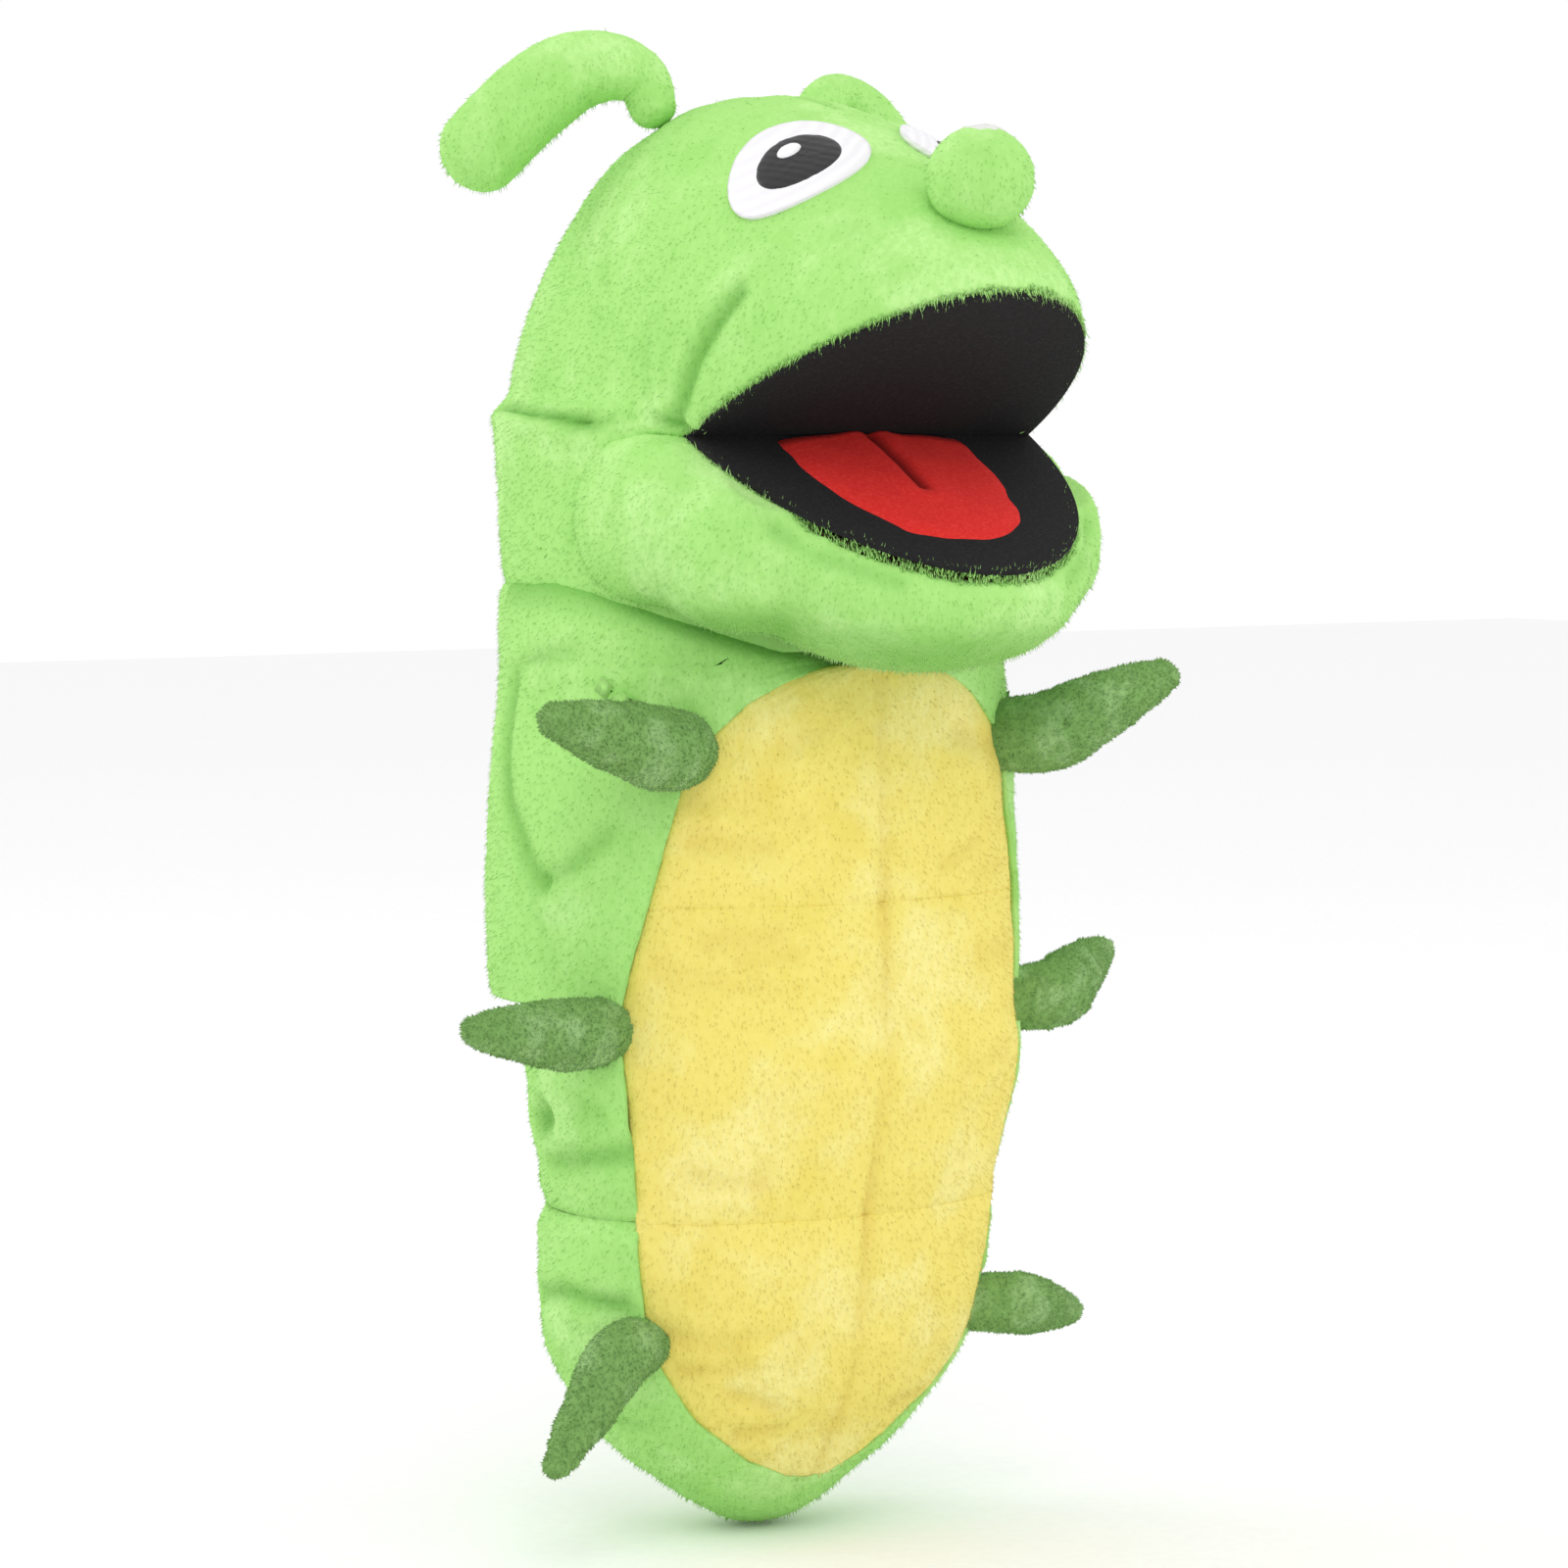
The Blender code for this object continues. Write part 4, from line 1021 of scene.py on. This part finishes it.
class PUPPET_OT_sleeve(bpy.types.Operator):
    """Sews the green sleeve over the hand and the waist below it as one cloth, open at the back"""

    bl_idname = "puppet.sleeve"
    bl_label = "Sleeve and waist"

    def execute(self, context):
        step = skin_step()
        rows = int(150 / step)

        def surface(u, v):
            low = TAIL_SEAM_Z
            z = between(low, COLLAR_Z, v)
            high = chest_top(green_side(u, z)) + 4.5
            z = between(low, high, v)
            angle = green_side(u, z)
            collar = eased(high - 9.0, high, z)
            pinch = eased(low + 7.0, low, z)
            return body_point(angle, z, 8.0 * collar**2 + 1.6 * pinch**2 - 1.2 * math.sin(math.pi * v))

        bm = bent_grid(surface, (int(330 / step), rows))
        bmesh.ops.recalc_face_normals(bm, faces=bm.faces)
        if sum((f.calc_center_median() - Vector((0, -4, 150))).dot(f.normal) for f in bm.faces) < 0:
            bmesh.ops.reverse_faces(bm, faces=bm.faces)
        behind = [f for f in bm.faces if f.calc_center_median().y > -14.0]
        parts = list({e for f in behind for e in f.edges} | {v for f in behind for v in f.verts}) + behind
        bmesh.ops.bisect_plane(bm, geom=parts, plane_co=(0, 0, BACK_HEM_Z), plane_no=(0, 0, 1))
        behind = [f for f in bm.faces if f.calc_center_median().y > -14.0]
        parts = list({e for f in behind for e in f.edges} | {v for f in behind for v in f.verts}) + behind
        slope = Vector((0.0, 0.53, 1.0)).normalized()
        bmesh.ops.bisect_plane(bm, geom=parts, plane_co=(0, WAIST.y, 148.7), plane_no=slope)
        bmesh.ops.remove_doubles(bm, verts=bm.verts, dist=0.15)
        gone = []
        for face in bm.faces:
            middle = face.calc_center_median()
            if middle.y > -8.0 and middle_top(middle.y) < middle.z < BACK_HEM_Z:
                gone.append(face)
        bmesh.ops.delete(bm, geom=gone, context="FACES")
        hem_row = tuple(body_point(angle, BACK_HEM_Z + 5.0)[:] for angle in range(92, 269, 4))
        sculpt(bm, BODY_FOLDS + ((0.9, 0.9, hem_row),), 0.9, 13.0)
        # painted shade at the collar, where it tucks under the jaw's overhang
        layer = bm.verts.layers.float[FOLD_SHADE_LAYER]
        for vert in bm.verts:
            turn = math.degrees(math.atan2(vert.co.x, -(vert.co.y + 4.0)))
            rim = chest_top(turn)
            vert[layer] = max(vert[layer], 0.85 * eased(rim - 9.0, rim + 2.0, vert.co.z) * (vert.co.y < 20.0))
        flat = sum(f.calc_area() for f in bm.faces) * MM * MM
        spots = scattered(bm, pile_amount())
        walled(bm, in_mm(sizes().cloth_wall))
        nap(bm, spots)
        piece = place("sleeve_plush", bm, cloth("green_plush"))
        dress(
            piece, "torso",
            (
                "back_panel", "side_panel_left", "side_panel_right",
                "flank_left", "flank_right", "middle_skin", "sleeve_hem",
            ),
            blend_to=("middle", (0.0, -47.0, 155.4), (0.0, -47.0, 144.6)),
        )
        return {"FINISHED"}


class PUPPET_OT_tail(bpy.types.Operator):
    """Sews the green skin of the stuffed tail"""

    bl_idname = "puppet.tail"
    bl_label = "Tail"

    def execute(self, context):
        step = skin_step()

        def surface(u, v):
            z = v**1.15 * TAIL_SEAM_Z
            angle = green_side(u, z)
            pinch = eased(TAIL_SEAM_Z - 7.0, TAIL_SEAM_Z, z)
            return body_point(angle, z, 1.6 * pinch**2 - 0.6 * math.sin(math.pi * v))

        bm = bent_grid(surface, (int(320 / step), int(90 / step)))
        bmesh.ops.recalc_face_normals(bm, faces=bm.faces)
        if sum((f.calc_center_median() - Vector((0, -4, 40))).dot(f.normal) for f in bm.faces) < 0:
            bmesh.ops.reverse_faces(bm, faces=bm.faces)
        folds = (
            (1.4, 2.4, ((-52, -22, 58), (-56, -6, 60), (-55, 8, 58))),
            (1.2, 2.6, ((-40, -26, 26), (-44, -8, 28))),
            (1.2, 2.4, ((50, -24, 56), (55, -8, 60))),
        )
        sculpt(bm, folds, 0.9, 13.0)
        spots = scattered(bm, pile_amount())
        walled(bm, in_mm(sizes().cloth_wall))
        nap(bm, spots)
        piece = place("tail_plush", bm, cloth("green_plush"))
        dress(
            piece, "middle", ("tail_skin",),
            blend_to=("tail", (0.0, -44.0, 79.0), (0.0, -44.0, 60.0)),
        )
        return {"FINISHED"}


SEAM_LAP = 0.7  # neighbouring belly parts overlap by this much in the bottom of their seam
BELLY_PARTS = (  # name, body, low edge, high edge, nodes it stands for
    ("chest", "torso", WAIST.z - SEAM_LAP, 204.9, ("belly_upper_left", "belly_upper_right")),
    (
        "waist", "middle", TAIL_SEAM_Z - SEAM_LAP, WAIST.z + SEAM_LAP,
        ("belly_middle_left", "belly_middle_right"),
    ),
    ("tail", "tail", 13.4, TAIL_SEAM_Z + SEAM_LAP, ("belly_tail_left", "belly_tail_right")),
)


class PUPPET_OT_belly(bpy.types.Operator):
    """Sews the padded yellow belly in its three quilted parts, with the seam down its middle"""

    bl_idname = "puppet.belly"
    bl_label = "Belly"

    def execute(self, context):
        step = skin_step() * 0.8
        for number, (name, body, low, high, nodes) in enumerate(BELLY_PARTS):
            def surface(u, v):
                z = between(low, high, v)
                edge = belly_angle(z) + 1.2
                point = body_point(between(-edge, edge, u), z)
                across = math.sin(math.pi * u) ** 0.4
                along = 1.0 if name == "tail" and v < 0.5 else math.sin(math.pi * v) ** 0.4
                if name == "chest" and v > 0.5:
                    along = 1.0
                out = Vector((point.x, point.y + 4.0, 0.0)).normalized()
                return point + out * (1.6 - 3.4 * max(1.0 - across, 0.55 * (1.0 - along)))

            bm = bent_grid(surface, (int(120 / step), int((high - low) / step)))
            bmesh.ops.recalc_face_normals(bm, faces=bm.faces)
            if sum(f.normal.y for f in bm.faces) > 0:
                bmesh.ops.reverse_faces(bm, faces=bm.faces)
            seam = tuple((0.6 * math.sin(z / 17.0), body_point(0.0, z).y, z) for z in range(10, 206, 4))
            folds = [(1.2, 1.6, seam)]
            rng = random.Random(5 + number)
            for _ in range(7):
                z = rng.uniform(low + 6.0, high - 4.0)
                angle = rng.choice((-1, 1)) * rng.uniform(0.45, 0.9) * belly_angle(z)
                a = body_point(angle, z)
                b = body_point(angle * 0.6, z + rng.uniform(-4, 4))
                folds.append((rng.uniform(0.3, 0.7), rng.uniform(2.2, 3.4), (a[:], b[:])))
            sculpt(bm, tuple(folds), 0.9, 13.0)
            spots = scattered(bm, pile_amount())
            walled(bm, in_mm(sizes().cloth_wall))
            nap(bm, spots)
            piece = place("belly_plush_" + name, bm, cloth("yellow_plush"))
            dress(piece, body, nodes)
        return {"FINISHED"}


# ---------------------------------------------------------------- legs, antennae, nose and eyes
def limb(route, radii, steps):
    """A closed soft limb along a route, rounded at both ends."""
    last = len(route) - 1

    def surface(u, v):
        start, tip = 0.16, 0.80
        if v < start:
            turn = math.pi / 2 * v / start
            place_at, swell, back = 0.0, math.sin(turn), -math.cos(turn)
        elif v > tip:
            turn = math.pi / 2 * (1.0 - v) / (1.0 - tip)
            place_at, swell, back = float(last), math.sin(turn), math.cos(turn)
        else:
            place_at, swell, back = last * (v - start) / (tip - start), 1.0, 0.0
        centre = Vector([woven([p[c] for p in route], place_at) for c in range(3)])
        ahead = Vector([woven([p[c] for p in route], min(place_at + 0.05, last)) for c in range(3)])
        behind = Vector([woven([p[c] for p in route], max(place_at - 0.05, 0.0)) for c in range(3)])
        along = (ahead - behind).normalized()
        radius = woven(radii, place_at)
        side = along.cross(Vector((0.0, 1.0, 0.0))).normalized()
        turn = -2.0 * math.pi * u
        ring = radius * swell * (math.cos(turn) * side + math.sin(turn) * along.cross(side))
        return centre + ring + along * radius * 0.92 * back

    bm = bent_grid(surface, steps)
    bmesh.ops.recalc_face_normals(bm, faces=bm.faces)
    return bm


class PUPPET_OT_legs(bpy.types.Operator):
    """Sews the six stubby legs of looped terry"""

    bl_idname = "puppet.legs"
    bl_label = "Legs"

    def execute(self, context):
        rng = random.Random(31)
        for name, (z, angle, radius, *sides) in LEG_ROWS.items():
            for sign, side, (length, out, back, up) in zip((1.0, -1.0), ("left", "right"), sides):
                foot = body_point(sign * angle, z)
                facing = Vector((foot.x, (foot.y + 4.0) * 1.5, 0.0)).normalized()
                pivot = foot + facing * LEG_STANDOFF
                along = Vector((sign * out, back, up)).normalized()
                reach = length + 1.0
                route = [foot - facing * 5.0] + [pivot + along * reach * s for s in (0.08, 0.38, 0.7, 0.92)]
                girths = [radius * s for s in (0.84, 0.98, 0.88, 0.66, 0.42)]
                bm = limb([tuple(p) for p in route], girths, (40, 44))
                for vert in bm.verts:
                    loops = 0.55 * noise.noise(vert.co / 2.0 + Vector((z, 0, 0)))
                    vert.co += vert.normal * (loops + 0.35 * noise.noise(vert.co / 5.0))
                bm.normal_update()
                spots = scattered(bm, pile_amount() * 5.0, rng)
                tufts(bm, spots, in_mm(sizes().pile_length) * 0.6, 0.28, along * 0.8, rng)
                piece = place("leg_terry_%s_%s" % (name, side), bm, cloth("terry"))
                leg = "leg_%s_%s" % (name, side)
                dress(piece, leg, (leg + "_cover", leg + "_stuffing"))
        return {"FINISHED"}


class PUPPET_OT_antennae(bpy.types.Operator):
    """Sews the two stuffed antennae"""

    bl_idname = "puppet.antennae"
    bl_label = "Antennae"

    def execute(self, context):
        for side, route in ANTENNA_ROUTES.items():
            bm = limb([p[:3] for p in route], [p[3] * 1.14 + 0.3 for p in route], (48, 96))
            sculpt(bm, (), 0.45, 3.0 if side == "left" else 8.0)
            nap(bm, scattered(bm, pile_amount()))
            piece = place("antenna_plush_" + side, bm, cloth("green_plush"))
            dress(piece, "antenna_" + side, ("antenna_%s_cover" % side,))
        return {"FINISHED"}


class PUPPET_OT_nose(bpy.types.Operator):
    """Sews the round stuffed nose"""

    bl_idname = "puppet.nose"
    bl_label = "Nose"

    def execute(self, context):
        bm = ball(NOSE_CENTRE - Vector((0.0, 0.0, 2.2)), (11.9, 11.6, 11.4), 0.97)
        sculpt(bm, (), 0.5, 17.0)
        nap(bm, scattered(bm, pile_amount()))
        piece = place("nose_plush", bm, cloth("green_plush"))
        dress(piece, "head", ("nose_cover",))
        return {"FINISHED"}


class PUPPET_OT_eyes(bpy.types.Operator):
    """Embroiders the eyes: a white oval, a black pupil and a small white glint on each"""

    bl_idname = "puppet.eyes"
    bl_label = "Eyes"

    def execute(self, context):
        layers = (  # name, half side, half tilt, side shift, tilt shift, lift, thread, nodes
            ("white", 19.2, 12.8, 0.0, 0.0, 0.9, "white_thread", "eye_white"),
            ("pupil", 11.2, 7.2, -0.5, -0.6, 1.35, "black_thread", "thread_black"),
            ("glint", 3.2, 1.9, -0.6, 2.4, 1.8, "white_thread", "eye_white"),
        )
        for side, middle in (("left", EYE_SIDE), ("right", 180.0 - EYE_SIDE)):
            for name, half_side, half_tilt, shift, tilt_shift, lift, thread, slot_name in layers:
                def surface(u, v):
                    turn, out = 2 * math.pi * u, 1.0 - v
                    at = (
                        middle + shift + half_side * out * math.cos(turn),
                        EYE_TILT + tilt_shift + half_tilt * out * math.sin(turn),
                    )
                    return head_point(*at, lift + 0.45 * (1.0 - out**6))

                bm = bent_grid(surface, (72, 18))
                bmesh.ops.recalc_face_normals(bm, faces=bm.faces)
                if sum(f.normal.y for f in bm.faces) > 0:
                    bmesh.ops.reverse_faces(bm, faces=bm.faces)
                for vert in bm.verts:
                    spot = Vector((vert.co.x, vert.co.y, vert.co.z * 4.0)) / 1.2
                    vert.co += vert.normal * 0.1 * noise.noise(spot)
                walled(bm, 1.6)
                piece = place("eye_%s_stitching_%s" % (name, side), bm, cloth(thread))
                dress(piece, "head", ("eye_%s_%s" % (name, side),))
        return {"FINISHED"}


# ---------------------------------------------------------------- the pieces inside
INNER_CLOTHS = {
    "fibre": (
        "head_stuffing", "chin_stuffing", "middle_stuffing", "tail_stuffing", "nose_stuffing",
        "antenna_left_stuffing", "antenna_right_stuffing",
    ),
    "wadding": ("chest_padding",),
    "board": ("upper_mouth_board", "lower_mouth_board"),
    "green_lining": ("sleeve_lining", "hand_rest_cloth"),
    "black_lining": ("finger_pocket", "thumb_pocket"),
}


class PUPPET_OT_inside(bpy.types.Operator):
    """Gives the stuffing, boards, lining and pockets inside their own cloths"""

    bl_idname = "puppet.inside"
    bl_label = "Inside pieces"

    def execute(self, context):
        for name, nodes in INNER_CLOTHS.items():
            for node_name in nodes:
                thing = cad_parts[node_name]
                for held in thing.material_slots:
                    held.material = cloth(name)
                if not thing.material_slots:
                    thing.data.materials.append(cloth(name))
        return {"FINISHED"}


# ---------------------------------------------------------------- stage, panel and running order
STAGE_MIDDLE = Vector((0.0, -0.042, 0.062))  # in metres and degrees, like the rest of the stage
CAMERA_AZIMUTH = -35.0
CAMERA_ELEVATION = 4.0
CAMERA_DISTANCE = 1.224
CAMERA_SHIFT = 0.0069
CAMERA_LENS = 120.0  # focal length and sensor width in mm
CAMERA_SENSOR = 36.0
FLOOR_HALF_WIDTH = 4.0
FLOOR_GAP = 0.001
LIGHTS = (  # name, where, width, watts
    ("key_light", (-0.7, -1.3, 1.3), 0.9, 6.5),
    ("fill_light", (1.2, -1.0, 0.5), 1.0, 2.0),
    ("rim_light", (-0.9, 0.9, 0.8), 0.8, 4.0),
)


class PUPPET_OT_stage(bpy.types.Operator):
    """Sets up the pale floor, the soft lights and the camera"""

    bl_idname = "puppet.stage"
    bl_label = "Stage"

    def execute(self, context):
        bm = bmesh.new()
        bmesh.ops.create_grid(bm, x_segments=2, y_segments=2, size=FLOOR_HALF_WIDTH)
        bmesh.ops.translate(bm, verts=bm.verts, vec=(0.0, 0.0, CAD_BOX[0][2] - FLOOR_GAP))
        mesh = bpy.data.meshes.new("studio_floor")
        bm.to_mesh(mesh)
        bm.free()
        mesh.materials.append(cloth("paper"))
        floor = bpy.data.objects.new("studio_floor", mesh)
        context.scene.collection.objects.link(floor)

        context.scene.view_settings.view_transform = "Standard"
        world = bpy.data.worlds.new("studio")
        world.use_nodes = True
        world.node_tree.nodes["Background"].inputs["Color"].default_value = (1.0, 1.0, 1.0, 1.0)
        world.node_tree.nodes["Background"].inputs["Strength"].default_value = 1.0
        context.scene.world = world

        for name, where, width, watts in LIGHTS:
            lamp = bpy.data.lights.new(name, "AREA")
            lamp.size = width
            lamp.energy = watts
            light = bpy.data.objects.new(name, lamp)
            light.location = where
            light.rotation_euler = (STAGE_MIDDLE - Vector(where)).to_track_quat("-Z", "Y").to_euler()
            context.scene.collection.objects.link(light)

        azimuth, elevation = math.radians(CAMERA_AZIMUTH), math.radians(CAMERA_ELEVATION)
        right = Vector((math.cos(azimuth), math.sin(azimuth), 0.0))
        level = Vector((-math.sin(azimuth), math.cos(azimuth), 0.0))
        view = level * math.cos(elevation) - Vector((0.0, 0.0, math.sin(elevation)))
        aim = STAGE_MIDDLE + right * CAMERA_SHIFT
        lens = bpy.data.cameras.new("camera")
        lens.lens = CAMERA_LENS
        lens.sensor_width = CAMERA_SENSOR
        camera = bpy.data.objects.new("camera", lens)
        camera.location = aim - view * CAMERA_DISTANCE
        camera.rotation_euler = view.to_track_quat("-Z", "Y").to_euler()
        context.scene.collection.objects.link(camera)
        context.scene.camera = camera
        return {"FINISHED"}


OPERATORS = (
    PUPPET_OT_stage,
    PUPPET_OT_head,
    PUPPET_OT_jaw,
    PUPPET_OT_mouth,
    PUPPET_OT_tongue,
    PUPPET_OT_sleeve,
    PUPPET_OT_belly,
    PUPPET_OT_tail,
    PUPPET_OT_legs,
    PUPPET_OT_antennae,
    PUPPET_OT_nose,
    PUPPET_OT_eyes,
    PUPPET_OT_inside,
)


class PUPPET_PT_panel(bpy.types.Panel):
    """Lists the puppet's sizes and its pieces"""

    bl_idname = "PUPPET_PT_panel"
    bl_label = "Hand puppet"
    bl_space_type = "VIEW_3D"
    bl_region_type = "UI"
    bl_category = "Puppet"

    def draw(self, context):
        for name in PuppetSizes.__annotations__:
            self.layout.prop(context.scene.puppet_sizes, name)
        for operator in OPERATORS:
            self.layout.operator(operator.bl_idname)


CLASSES = (PuppetSizes,) + OPERATORS + (PUPPET_PT_panel,)


def register():
    for made in CLASSES:
        bpy.utils.register_class(made)
    bpy.types.Scene.puppet_sizes = PointerProperty(type=PuppetSizes)


def unregister():
    del bpy.types.Scene.puppet_sizes
    for made in reversed(CLASSES):
        bpy.utils.unregister_class(made)


def main():
    register()
    for operator in OPERATORS:
        group, name = operator.bl_idname.split(".")
        getattr(getattr(bpy.ops, group), name)()


if __name__ == "__main__":
    main()
